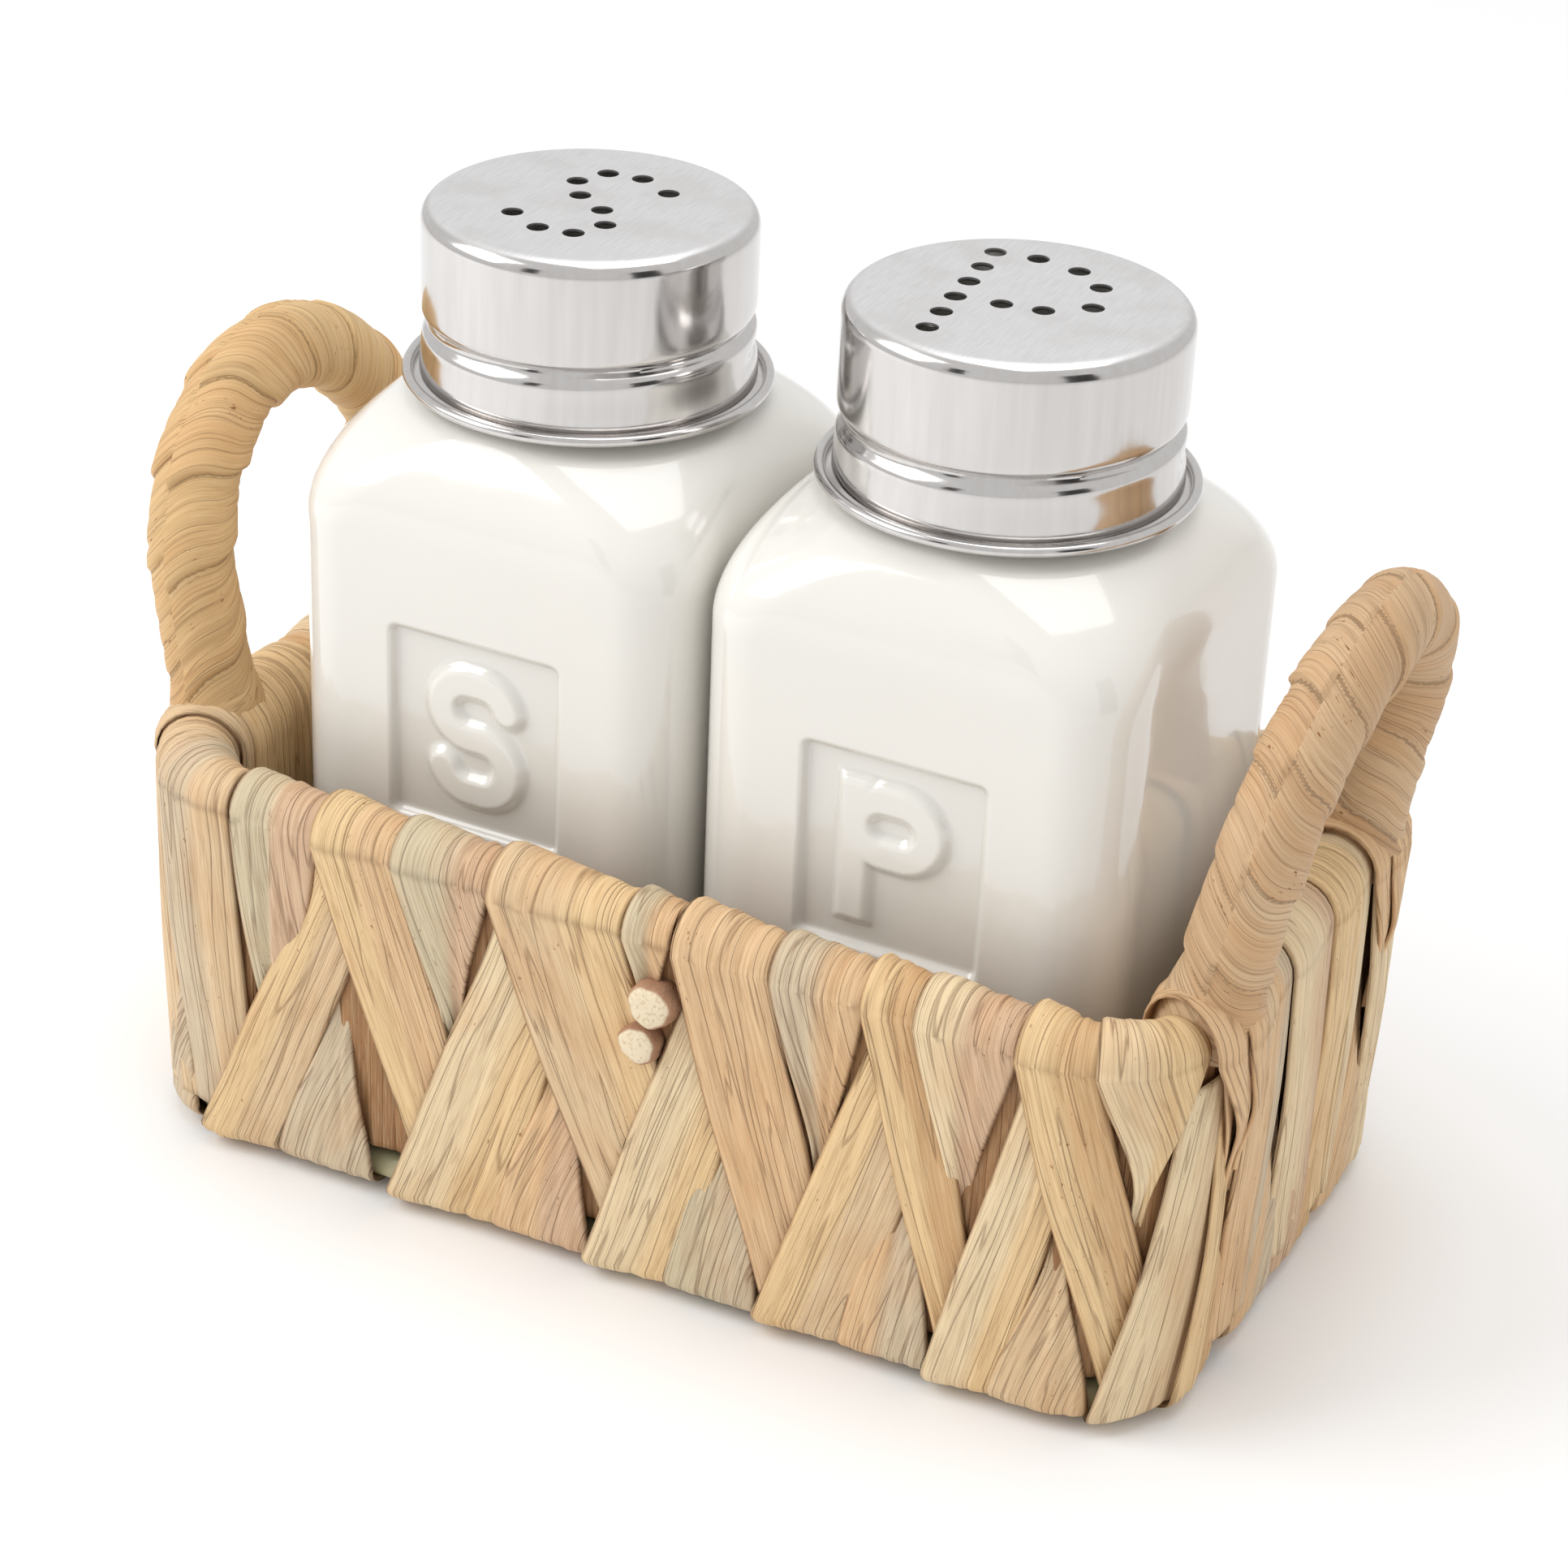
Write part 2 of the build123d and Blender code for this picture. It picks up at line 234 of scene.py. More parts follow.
def base_route(height_end, inner_end):
    """The same from the outer face down, under the base roll and up inside."""
    outer = np.arange(height_end, base_height, -0.9)
    turns = np.linspace(0, -np.pi, 13)
    inner = np.arange(base_height, inner_end, 1.3)
    centre = np.concatenate([outer, np.full(13, base_height), inner])
    angle = np.concatenate([np.zeros(len(outer)), turns, np.full(len(inner), -np.pi)])
    return centre, angle


ACROSS = 25
UNDER = 9
LEAF_THICKNESS = 0.45
EDGE_ROUNDING = 0.14
STRIP_LOTS = 900


def path_run(path):
    """The distance run along a line of points, from its first."""
    return np.concatenate([[0], np.cumsum(np.linalg.norm(np.diff(path, axis=0), axis=-1))])


def leaf_grain(across, run, lot):
    """The place on a strip that its material reads: across, along, and a number of its own."""
    return np.stack(np.broadcast_arrays(across, run, lot), axis=-1)


def two_tone(tints, share, shape):
    """Colours that go from the first tint to the second by a share, over a grid."""
    first, second = (np.array(linear(*t)) for t in tints)
    return np.broadcast_to(first * (1 - share) + second * share, shape)


def leaf_strip(rng, route, left, width, lift, tints, bulge=0.3, creases=4):
    """One leaf strip as a thin closed band.

    route gives the section's roll centre and angle along the strip. left and width are the
    strip's left edge and width on the wall, one value for each step of the route, and lift is
    (steps, across) of height off the wall. The middle is crowned, creases run along it, and
    the section's loop goes over the top and back underneath."""
    centre, angle = route
    count = len(centre)
    a = np.linspace(0, 1, ACROSS)[None, :]
    left = left + wander(rng, count, 0.25)
    width = width + wander(rng, count, 0.35)
    surface = lift + bulge * (1 - (2 * a - 1) ** 4)
    for _ in range(creases):
        where = rng.uniform(0.08, 0.92) + wander(rng, count, 0.03)[:, None]
        depth = rng.uniform(0.12, 0.34) * (0.6 + 0.4 * wander(rng, count, 1)[:, None])
        sharp = rng.uniform(0.35, 0.8) / width[:, None].clip(2)
        surface = surface - depth * np.exp(-(((a - where) / sharp) ** 2))
        surface = surface + 0.5 * depth * np.exp(-(((a - where - 1.8 * sharp) / sharp) ** 2))
    left_edge, right_edge = (wander(rng, count, 0.12)[:, None] for _ in range(2))
    surface = surface + (left_edge * (1 - a) + right_edge * a)
    back = np.linspace(1, 0, UNDER)[None, 1:-1]
    share = np.concatenate([a, back], axis=1)
    spread = left[:, None] + width[:, None] * share
    under = np.stack([np.interp(back[0], a[0], row) for row in surface]) - LEAF_THICKNESS
    surface = np.concatenate([surface, under], axis=1)
    surface[:, [0, ACROSS - 1]] -= LEAF_THICKNESS / 2
    spread[:, 0] -= EDGE_ROUNDING
    spread[:, ACROSS - 1] += EDGE_ROUNDING
    radius = wall_half + surface
    below = np.sin(angle)[:, None] < 0
    up = np.where(below, 0.62 + 0.13 * surface, radius / wall_half) * wall_half
    out = np.cos(angle)[:, None] * radius
    height = centre[:, None] + np.sin(angle)[:, None] * up
    x, y = wall_place(spread, out)
    points = np.stack([x, y, height], axis=-1)
    run = path_run(points[:, ACROSS // 2])
    grain = leaf_grain(share * width[:, None], run[:, None], rng.uniform(0, STRIP_LOTS))
    split = smooth(share[0][None, :, None], rng.uniform(0.3, 0.45), rng.uniform(0.5, 0.75))
    tint = two_tone(tints, split, points.shape)
    # Edge is full at the strip's sides and over its whole underside, for painted shade there.
    edge = np.concatenate([2 * np.abs(a - 0.5), np.full(back.shape, 1.0)], axis=1) ** 6
    return points, grain, tint, np.broadcast_to(edge, grain.shape[:2])


def corners_of(grid, around):
    """A grid's values at each quad's four corners and at the two end faces' corners. A grid
    with one column to spare ends its last quad there, and any other wraps round."""
    if grid.shape[1] == around:
        grid = np.concatenate([grid, grid[:, :1]], axis=1)
    quads = np.stack([grid[:-1, :-1], grid[:-1, 1:], grid[1:, 1:], grid[1:, :-1]], axis=2)
    quads = quads.reshape((-1,) + grid.shape[2:])
    return np.concatenate([quads, grid[0, around - 1 :: -1][:around], grid[-1, :around]])


scene = bpy.context.scene


def placed(mesh, material):
    """Puts a mesh into the scene with its material, as an object of the same name."""
    piece = bpy.data.objects.new(mesh.name, mesh)
    scene.collection.objects.link(piece)
    mesh.materials.append(material)
    return piece


def loop_quads(index):
    """Quads that join each closed loop of a grid of vertex numbers to the next."""
    nxt = np.roll(index, -1, axis=1)
    return np.stack([index[:-1], nxt[:-1], nxt[1:], index[1:]], axis=-1).reshape(-1, 4).tolist()


def loops_mesh(name, parts, material, body, stands_for=()):
    """Joins tubes into one piece. Each is a grid of points with a closed loop across it, and
    grids of grain, tint and edge. Quads join a loop to the next, and a face closes each end."""
    points, faces, values = [], [], ([], [], [])
    offset = 0
    for grid, *layers in parts:
        steps, around = grid.shape[:2]
        index = offset + np.arange(steps * around).reshape(steps, around)
        faces += loop_quads(index) + [index[0][::-1].tolist(), index[-1].tolist()]
        points.append(grid.reshape(-1, 3))
        for held, layer in zip(values, layers):
            held.append(corners_of(layer, around))
        offset += steps * around
    mesh = bpy.data.meshes.new(name)
    mesh.from_pydata((np.concatenate(points) * MM).tolist(), [], faces)
    mesh.shade_smooth()
    layers = (("leaf_grain", "FLOAT_VECTOR", "vector"), ("leaf_tint", "FLOAT_COLOR", "color"))
    for (layer, kind, field), held in zip((*layers, ("leaf_edge", "FLOAT", "value")), values):
        data = np.concatenate(held)
        if field == "color":
            data = np.concatenate([data, np.ones((len(data), 1))], axis=1)
        mesh.attributes.new(layer, kind, "CORNER")
        mesh.attributes[layer].data.foreach_set(field, data.astype(np.float32).ravel())
    piece = placed(mesh, material)
    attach(piece, body)
    if stands_for:
        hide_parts(*stands_for)


def leaf_material(name, stain, fleck, lines=1.0):
    """Dried leaf: fine lengthwise fibres, thin dark creases that are partly the leaf's own colour
    and partly painted shade, painted shade at the edges and underneath, soft stains and brown
    flecks.

    All of it reads the strip's own grain, in millimetres across and along the strip."""
    material, shader, root = new_material(name)
    grain = root.add("Attribute", output=1, attribute_name="leaf_grain")
    tint = root.add("Attribute", attribute_name="leaf_tint")
    edge = root.add("Attribute", output=2, attribute_name="leaf_edge")
    fibre = grain.stretch(4.2, 0.16).noise(1.0, 3, 0.6)
    thread = grain.stretch(1.7, 0.045).noise(1.0, 2, 0.55)
    fold = grain.stretch(0.62, 0.022).noise(1.0, 1, 0.5)
    line = 1 - root.math("ABSOLUTE", thread - 0.5).step(0.0, 0.028)
    deep = 1 - root.math("ABSOLUTE", fold - 0.5).step(0.0, 0.02)
    patch = grain.stretch(0.11, 0.05).noise(1.0, 3, 0.6)
    spots = grain.stretch(2.3, 0.9).noise(1.0, 2, 0.6).step(0.66, 0.74)
    crowd = grain.stretch(0.16, 0.06, 3.0).noise(1.0, 1).step(0.50, 0.66)
    pale = tint.blend(rgb(250, 228, 186), fibre.step(0.42, 0.74) * 0.22)
    dark = pale.blend(rgb(176, 132, 86), (1 - fibre.step(0.28, 0.54)) * 0.22)
    warm = dark.blend(rgb(202, 150, 98), patch.step(0.46, 0.74) * stain)
    # Dark lines on the creases and folds: partly the leaf's own colour, partly painted shade in
    # the valleys that the bump cuts there.
    creased = warm.blend(rgb(140, 94, 54), line * 0.26 * lines)
    folded = creased.blend(rgb(112, 72, 42), deep * 0.42 * lines)
    # Painted shade: darker at strip edges, on undersides and where wound turns tuck under each
    # other.
    edge_shaded = folded.blend(rgb(150, 102, 60), edge.step(0.6, 1.0) * 0.40)
    flecked = edge_shaded.blend(rgb(134, 78, 42), spots * crowd * fleck)
    creasing = (1 - line) * 0.10 + (1 - deep) * 0.40 + thread * 0.30
    height = fibre * 0.08 + creasing * lines
    bump = root.add("Bump", {"Height": height, "Distance": 0.00038, "Strength": 0.8})
    feed(shader, Base_Color=flecked, Roughness=fibre * 0.18 + 0.50, Normal=bump)
    feed(shader, Specular_IOR_Level=0.32)
    return material


STRAW = (224, 192, 144)
SAND = (214, 186, 148)
GREY = (200, 182, 154)
GREEN_GREY = (200, 186, 156)
PEACH = (217, 181, 139)
ROSE = (206, 173, 142)
CREAM = (226, 204, 166)
TAN = (206, 168, 122)
# Dark brown of the backing strips: painted shade in the gaps between strips.
GAP_SHADE_BROWN = (150, 108, 70)
leaf = leaf_material("dried_leaf", 0.35, 0.8)
rng = np.random.default_rng(7)


def sloped_lift(raised_left, extra):
    """How far a strip stands off the wall: shingled, higher at its left edge than its right."""
    a = np.linspace(0, 1, ACROSS)[None, :]
    return (raised_left * (1 - a) ** 1.5 + 0.5 * a) * extra[:, None]


def drawn_in(start, width, lean, narrowing, travel, reach, side, sunk, sunk_from):
    """A strip's left edge, width and sinking by its travel down the outside from its fold.
    It leans and narrows by so much a millimetre, or tapers over its reach, mostly from one
    side, and then sinks behind its neighbours."""
    if reach is None:
        return start + lean * travel, width * (1 - narrowing * travel) + 0.6, 0
    wide = width * (1 - 0.90 * smooth(travel, -6, reach + 4)) + 0.8
    left = start + (width - wide) * side + lean * travel
    return left, wide, sunk * smooth(travel, sunk_from, reach + 8)[:, None]


def rim_strip(rng, start, width, lean, tints, taper=None, over=0.0, bulge=0.3):
    """A strip folded over the rim. It leans along the wall on its way down, or tapers to an
    end at the height given."""
    whole = taper is None
    route = rim_route(5.0 if whole else taper - 9, 7.0)
    centre, angle = route
    outside = angle < 0.5
    down = np.where(outside, roll_height - centre, 0)
    reach = None if whole else roll_height - taper
    left, wide, sunk = drawn_in(start, width, lean / 40, 0.0025, down, reach, 0.55, 1.4, 8)
    if whole:
        left = left - 0.06 * np.where(angle > 3, roll_height - centre, 0)
    extra = np.where(outside, 0.25 + 0.75 * smooth(centre, 6, 34), 1.0)
    lift = sloped_lift(1.9 if whole else 1.5, extra) - sunk
    return leaf_strip(rng, route, left, wide, lift + over, tints, bulge)


def base_strip(rng, start, width, lean, tints, taper=None, bulge=0.3):
    """A strip folded under the base, leaning the other way, or tapering upwards to an end."""
    whole = taper is None
    route = base_route(43.0 if whole else taper + 9, 8.0)
    centre, angle = route
    outside = angle > -0.5
    rise = np.where(outside, centre - base_height, 0)
    reach = None if whole else taper - base_height
    left, wide, sunk = drawn_in(start, width, lean / 38, 0.06 / 38, rise, reach, 0.62, 1.3, 6)
    extra = np.where(outside, 0.2 + 0.8 * (1 - smooth(centre, 14, 40)), 1.0)
    lift = sloped_lift(1.9 if whole else 0.9, extra) - sunk
    return leaf_strip(rng, route, left, wide, lift, tints, bulge)


def backing_run(rng, begin, end):
    """Upright strips behind the others, which close the gaps between them; their dark brown is
    painted shade in the gaps.
    """
    strips = []
    for at in np.arange(begin, end - 2, 9.0):
        route = rim_route(6.0, 8.0)
        count = len(route[0])
        width = np.full(count, 10.2)
        left = np.full(count, at) + rng.uniform(-0.6, 0.6)
        lift = np.full((count, ACROSS), -0.85) + 0.25 * rng.uniform(0, 1)
        strips.append(leaf_strip(rng, route, left, width, lift, (GAP_SHADE_BROWN, GAP_SHADE_BROWN)))
    return strips


def leaf_piece(name, strips, *covered):
    """A run of strips as one piece of the basket, in place of the CAD nodes that it covers."""
    loops_mesh(name, strips, leaf, "basket", covered)


# the front, from the salt end to the pepper end: start on the wall, width, lean or taper
front_strips = [
    rim_strip(rng, -62.5, 10.5, 4, (GREY, SAND)),
    rim_strip(rng, -49.8, 11.3, -3, (GREEN_GREY, ROSE), taper=14),
    rim_strip(rng, -38.8, 10.2, 13, (STRAW, PEACH)),
    rim_strip(rng, -28.8, 13.4, 0, (GREEN_GREY, ROSE), taper=30),
    rim_strip(rng, -15.7, 15.8, 15, (SAND, STRAW)),
    rim_strip(rng, 0.4, 7.4, 1, (GREEN_GREY, PEACH), taper=42),
    rim_strip(rng, 7.6, 11.2, 11, (PEACH, PEACH)),
    rim_strip(rng, 18.9, 11.7, 1, (GREY, PEACH), taper=28),
    rim_strip(rng, 30.2, 6.4, 11, (STRAW, TAN)),
    rim_strip(rng, 36.0, 12.4, 0, (CREAM, ROSE), taper=28),
    rim_strip(rng, 48.2, 8.4, 12, (STRAW, TAN)),
    rim_strip(rng, 55.9, 14.6, -2, (CREAM, STRAW), taper=33),
    base_strip(rng, -55.4, 9.6, 15, (STRAW, SAND)),
    base_strip(rng, -45.6, 13.2, 2, (GREY, GREY), taper=23),
    base_strip(rng, -29.2, 13.2, 13, (CREAM, STRAW)),
    base_strip(rng, -16.2, 13.6, 1, (PEACH, ROSE), taper=26),
    base_strip(rng, -3.2, 10.8, 12, (CREAM, STRAW)),
    base_strip(rng, 7.2, 11.4, 0, (GREEN_GREY, GREY), taper=29),
    base_strip(rng, 18.8, 10.6, 12, (STRAW, SAND)),
    base_strip(rng, 29.0, 11.4, 0, (PEACH, GREY), taper=28),
    base_strip(rng, 40.0, 7.8, 9, (CREAM, STRAW)),
    base_strip(rng, 47.2, 11.8, 0, (SAND, SAND), taper=21),
    base_strip(rng, 59.0, 11.5, 8, (CREAM, SAND)),
    base_strip(rng, 68.0, 10.5, 6, (STRAW, TAN)),
    rim_strip(rng, 70.5, 11.0, 2, (PEACH, SAND), taper=24),
]
front_corners = ("front_left_corner_weave", "front_right_corner_weave")
leaf_piece("front_leaf_strips", front_strips, "front_weave", *front_corners)
leaf_piece("front_backing_strips", backing_run(rng, -76, 76))


def drawn_tints(rng, palette, count):
    """Tints drawn at random from a palette."""
    return [palette[rng.integers(len(palette))] for _ in range(count)]


def plain_run(rng, begin, end, pairs, lean):
    """The same pattern carried along another stretch of the wall, with widths, leans and
    colours drawn at random: pairs of a leaning strip and a tapered one, rim and base."""
    palette = [STRAW, SAND, GREY, PEACH, ROSE, CREAM, TAN, GREEN_GREY]
    pitch = (end - begin) / pairs
    strips = []
    for pair in range(pairs):
        at = begin + pitch * (pair + rng.uniform(-0.04, 0.04))
        share = rng.uniform(0.44, 0.56)
        tints = drawn_tints(rng, palette, 8)
        tilt = lean * rng.uniform(0.85, 1.15)
        wide, rest = pitch * share, pitch * (1 - share) + 0.6
        strips.append(rim_strip(rng, at, wide, tilt, tints[0:2]))
        strips.append(rim_strip(rng, at + wide, rest, 0, tints[2:4], rng.uniform(24, 32)))
        at += pitch * rng.uniform(0.38, 0.46)
        strips.append(base_strip(rng, at, wide, tilt, tints[4:6]))
        strips.append(base_strip(rng, at + wide, rest, 0, tints[6:8], rng.uniform(20, 28)))
    return strips


def end_strips(rng, begin, end, count):
    """An end wall: wide upright strips folded over the rim, bunched so that they bulge, and
    tapered ones folded under the base and tucked behind them."""
    palette = [STRAW, SAND, PEACH, ROSE, CREAM, TAN, GREY]
    pitch = (end - begin) / count
    strips = []
    for number in range(count):
        at = begin + pitch * (number + rng.uniform(-0.06, 0.06))
        tints = drawn_tints(rng, palette, 4)
        tilt = rng.uniform(-1, 9)
        strips.append(rim_strip(rng, at, pitch + 2.4, tilt, tints[0:2], bulge=1.2))
        at += pitch * rng.uniform(0.4, 0.6)
        strips.append(base_strip(rng, at, pitch + 1.6, 3, tints[2:4], rng.uniform(18, 30), 0.9))
    return strips


def foot_bands(rng, middle, tints):
    """Two short bands folded over the rim, crossed over the foot of a handle."""
    return [
        rim_strip(rng, middle - 7.5, 11.5, 4, tints, taper=34, over=1.2, bulge=0.8),
        rim_strip(rng, middle - 3.5, 11.0, -4, tints, taper=38, over=1.7, bulge=0.8),
    ]


right_begin = straight_x + corner_run
back_begin = right_begin + end_run + corner_run
left_begin = back_begin + front_run + corner_run
right_strips = end_strips(rng, 76.0, right_begin + end_run + 6, 4)
right_strips += backing_run(rng, 72, 128)
right_strips += foot_bands(rng, right_begin + 2, (PEACH, SAND))
right_strips += foot_bands(rng, right_begin + end_run - 2, (PEACH, TAN))
leaf_piece("right_leaf_strips", right_strips, "right_weave")
back_strips = plain_run(rng, right_begin + end_run + 3, left_begin - 6, 8, 13)
back_corners = ("back_right_corner_weave", "back_left_corner_weave")
leaf_piece("back_leaf_strips", back_strips, "back_weave", *back_corners)
leaf_piece("back_backing_strips", backing_run(rng, right_begin + end_run, left_begin - 4))
left_strips = end_strips(rng, left_begin - 7, round_trip - 66, 5)
left_strips += backing_run(rng, left_begin - corner_run, round_trip - 72)
left_strips += foot_bands(rng, left_begin + 2, (STRAW, SAND))
left_strips += foot_bands(rng, left_begin + end_run - 2, (STRAW, SAND))
leaf_piece("left_leaf_strips", left_strips, "left_weave")

# ----------
# Base mat: flat leaf strips plaited over and under, with the three wires across the base
# caught in the plait, and a plait strip between each pair of them.
# ----------
mat_low, mat_high = (np.array(c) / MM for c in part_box("base_weave"))
PLAIT_PITCH = 10.0
ROW_PITCH = 9.1
PLAIT_RISE = 1.45
mat_middle = (mat_low[2] + mat_high[2]) / 2


def flat_strip(rng, middle, across, width, tints):
    """A leaf strip lying along a line of points, its width along a fixed direction."""
    count = len(middle)
    a = np.concatenate([np.linspace(0, 1, 11), np.linspace(1, 0, 6)[1:-1]])
    above = np.concatenate([np.ones(11), np.zeros(4)])
    wide = width + wander(rng, count, 0.3)
    offset = (a[None, :] - 0.5) * wide[:, None]
    crown = 0.2 * (1 - (2 * a - 1) ** 4) - (1 - above) * LEAF_THICKNESS
    points = middle[:, None, :] + offset[:, :, None] * np.array(across)[None, None, :]
    points[:, :, 2] += crown[None, :] + 0.1
    run = path_run(middle)[:, None]
    grain = leaf_grain(a[None, :] * wide[:, None], run, rng.uniform(0, STRIP_LOTS))
    tint = two_tone(tints, smooth(a, 0.3, 0.7)[None, :, None], points.shape)
    # Edge is full at the strip's sides, for painted shade there.
    edge = np.broadcast_to((2 * np.abs(a - 0.5))[None, :] ** 6, offset.shape)
    return points, grain, tint, edge


mat_strips = []
line_x = np.linspace(mat_low[0] + 0.6, mat_high[0] - 0.6, 130)
for row in range(-3, 4):
    sign = 1 if row % 2 == 0 else -1
    height = mat_middle + sign * PLAIT_RISE * np.cos(np.pi * line_x / PLAIT_PITCH)
    middle = np.stack([line_x, np.full(130, row * ROW_PITCH), height], axis=-1)
    mat_strips.append(flat_strip(rng, middle, (0, 1, 0), ROW_PITCH - 0.4, (STRAW, SAND)))
line_y = np.linspace(mat_low[1] + 0.6, mat_high[1] - 0.6, 80)
for column in (-5, -4, -2, -1, 1, 2, 4, 5):
    sign = 1 if column % 2 == 0 else -1
    height = mat_middle - sign * PLAIT_RISE * np.cos(np.pi * line_y / ROW_PITCH)
    middle = np.stack([np.full(80, column * PLAIT_PITCH), line_y, height], axis=-1)
    mat_strips.append(flat_strip(rng, middle, (-1, 0, 0), PLAIT_PITCH - 1.6, (CREAM, SAND)))
leaf_piece("base_leaf_mat", mat_strips, "base_weave")

# ----------
# Stalk ends: two cut leaf stalks poke out between strips near the middle of the front, pale
# spongy pith with a thin reddish rind.
# ----------
pith, shader, root = new_material("stalk_pith")
edge = root.add("Attribute", output=2, attribute_name="leaf_edge")
place = root.add("TexCoord", output=3)
pores = place.noise(2200, 3, 0.7)
cream = root.add("Attribute", attribute_name="leaf_tint").blend(
    rgb(196, 168, 128), pores.step(0.5, 0.66) * 0.6
)
rind = cream.blend(rgb(150, 92, 56), edge.step(0.62, 0.95) * 0.8)
dimple = root.add("Bump", {"Height": pores, "Distance": 0.0003, "Strength": 0.7})
feed(shader, Base_Color=rind, Roughness=pores * 0.2 + 0.7, Normal=dimple)


def stalk_end(rng, along, height, radius, reach):
    """A short cut stalk standing out of the front wall, with a slightly domed, torn end."""
    turns = np.linspace(0, 2 * np.pi, 33)[:-1]
    shares = np.array([1.06, 1.08, 1.05, 1.0, 0.94, 0.8, 0.6, 0.35, 0.12])
    outward = np.array([0.0, 0.55, 0.9, 0.98, 1.04, 1.1, 1.13, 1.15, 1.16]) * reach
    ragged = 1 + 0.05 * np.sin(3 * turns + rng.uniform(0, 6)) + 0.03 * np.sin(7 * turns)
    ring = radius * shares[:, None] * ragged[None, :]
    x = along + ring * np.cos(turns)
    z = height + ring * np.sin(turns) + 0.12 * outward[:, None]
    y = np.broadcast_to(1.0 - straight_y - corner_outer - outward[:, None], ring.shape)
    points = np.stack([x, y, z], axis=-1)
    tint = np.broadcast_to(linear(232, 216, 186), points.shape)
    edge = np.broadcast_to(shares[:, None].clip(0, 1) ** 3, ring.shape)
    return points, points, tint, edge


stalks = [stalk_end(rng, 5.4, 39.4, 2.65, 3.6), stalk_end(rng, 3.6, 33.6, 2.3, 2.9)]
loops_mesh("stalk_ends", stalks, pith, "basket")

# ----------
# Handles: a wire hoop at each end, wound with damp leaf whose turns overlap unevenly. More
# leaf is folded over the rim at each foot, which binds the hoop to the basket.
# ----------
wire_low, wire_high = (np.array(c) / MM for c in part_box("right_handle_wire"))
FRAME_WIRE = 3.5
LEAN = np.radians(10)
hoop_radius = (wire_high[1] - wire_low[1] - FRAME_WIRE) / 2
rim_middle_x = straight_x + corner_middle
rim_wire_z = roll_height
hoop_leg = (wire_high[2] - FRAME_WIRE / 2 - rim_wire_z) / np.cos(LEAN) - hoop_radius


def handle_wrap(rng, side, begin, pitch, tints, thick):
    """A wound hoop. Each turn of leaf swells where it starts and sinks under the next."""
    arc = np.pi * hoop_radius
    leg = hoop_leg - begin
    total = 2 * leg + arc
    count = int(total / 0.24)
    run = np.linspace(0, total, count)
    bend = np.clip((run - leg) / hoop_radius, 0, np.pi)
    y = -hoop_radius * np.cos(bend)
    v = begin + np.minimum(run, leg) + hoop_radius * np.sin(bend)
    v = v - np.clip(run - leg - arc, 0, None)
    sin, cos = np.sin(LEAN), np.cos(LEAN)
    centre = np.stack([side * (rim_middle_x + v * sin), y, rim_wire_z + v * cos], axis=-1)
    up = np.array([side * sin, 0, cos])
    radial = -np.cos(bend)[:, None] * np.array([0, 1.0, 0]) + np.sin(bend)[:, None] * up
    normal = side * np.array([cos, 0, -side * sin])
    turns = np.linspace(0, 2 * np.pi, 81)
    slant = pitch * 1.35
    waves = wander(rng, count, 3.0, 4)
    phase = (run[:, None] + waves[:, None] + slant * turns[None, :] / (2 * np.pi)) / pitch
    phase = phase + 0.05 * np.sin(3 * turns)[None, :]
    number = np.floor(phase).astype(int)
    share = phase - number
    uneven = rng.uniform(0.35, 1.0, 200)[number % 200]
    ramp = smooth(share, 0.0, 0.07) * (1 - share) ** 0.8
    oval = 0.121 * np.sin(2 * turns + 1.3)[None, :]
    folds = 0.0
    for fold in range(3):
        at = rng.uniform(0.15, 0.95, 200)[number % 200]
        folds = folds - rng.uniform(0.08, 0.16) * np.exp(-(((share - at) / 0.05) ** 2))
    radius = thick + 0.85 * uneven * ramp + oval + folds + 0.9 * smooth(v, 9, 1)[:, None]
    points = centre[:, None, :] + radius[:, :, None] * (
        np.cos(turns)[None, :, None] * radial[:, None, :]
        + np.sin(turns)[None, :, None] * normal[None, None, :]
    )
    if side < 0:
        points, share, number = points[:, ::-1], share[:, ::-1], number[:, ::-1]
        turns = turns[::-1]
    wrapped = turns[None, :] * thick + run[:, None] * 0.35
    grain = [share * pitch * 1.3 + number * 31.0, wrapped, number * 7.7 + side * 50]
    grain = np.stack(grain, axis=-1)
    tint = two_tone(tints, rng.uniform(0, 1, 200)[number % 200][:, :, None], points.shape)
    # Edge is high where a turn comes out from under the last and where it tucks under the next,
    # for painted shade there.
    edge = 1 - smooth(share, 0.0, 0.08) + smooth(share, 0.93, 1.0) * 0.5
    return points[:, :-1], grain, tint, edge.clip(0, 1)


wound = leaf_material("wound_leaf", 0.45, 2.2, 0.6)
right_wrap = handle_wrap(rng, 1, -1.2, 10.4, ((204, 174, 138), (192, 156, 118)), 4.75)
left_wrap = handle_wrap(rng, -1, -1.2, 11.0, ((212, 180, 130), (206, 168, 118)), 4.8)
loops_mesh("right_wound_leaf", [right_wrap], wound, "basket", ["right_handle_wrap"])
loops_mesh("left_wound_leaf", [left_wrap], wound, "basket", ["left_handle_wrap"])

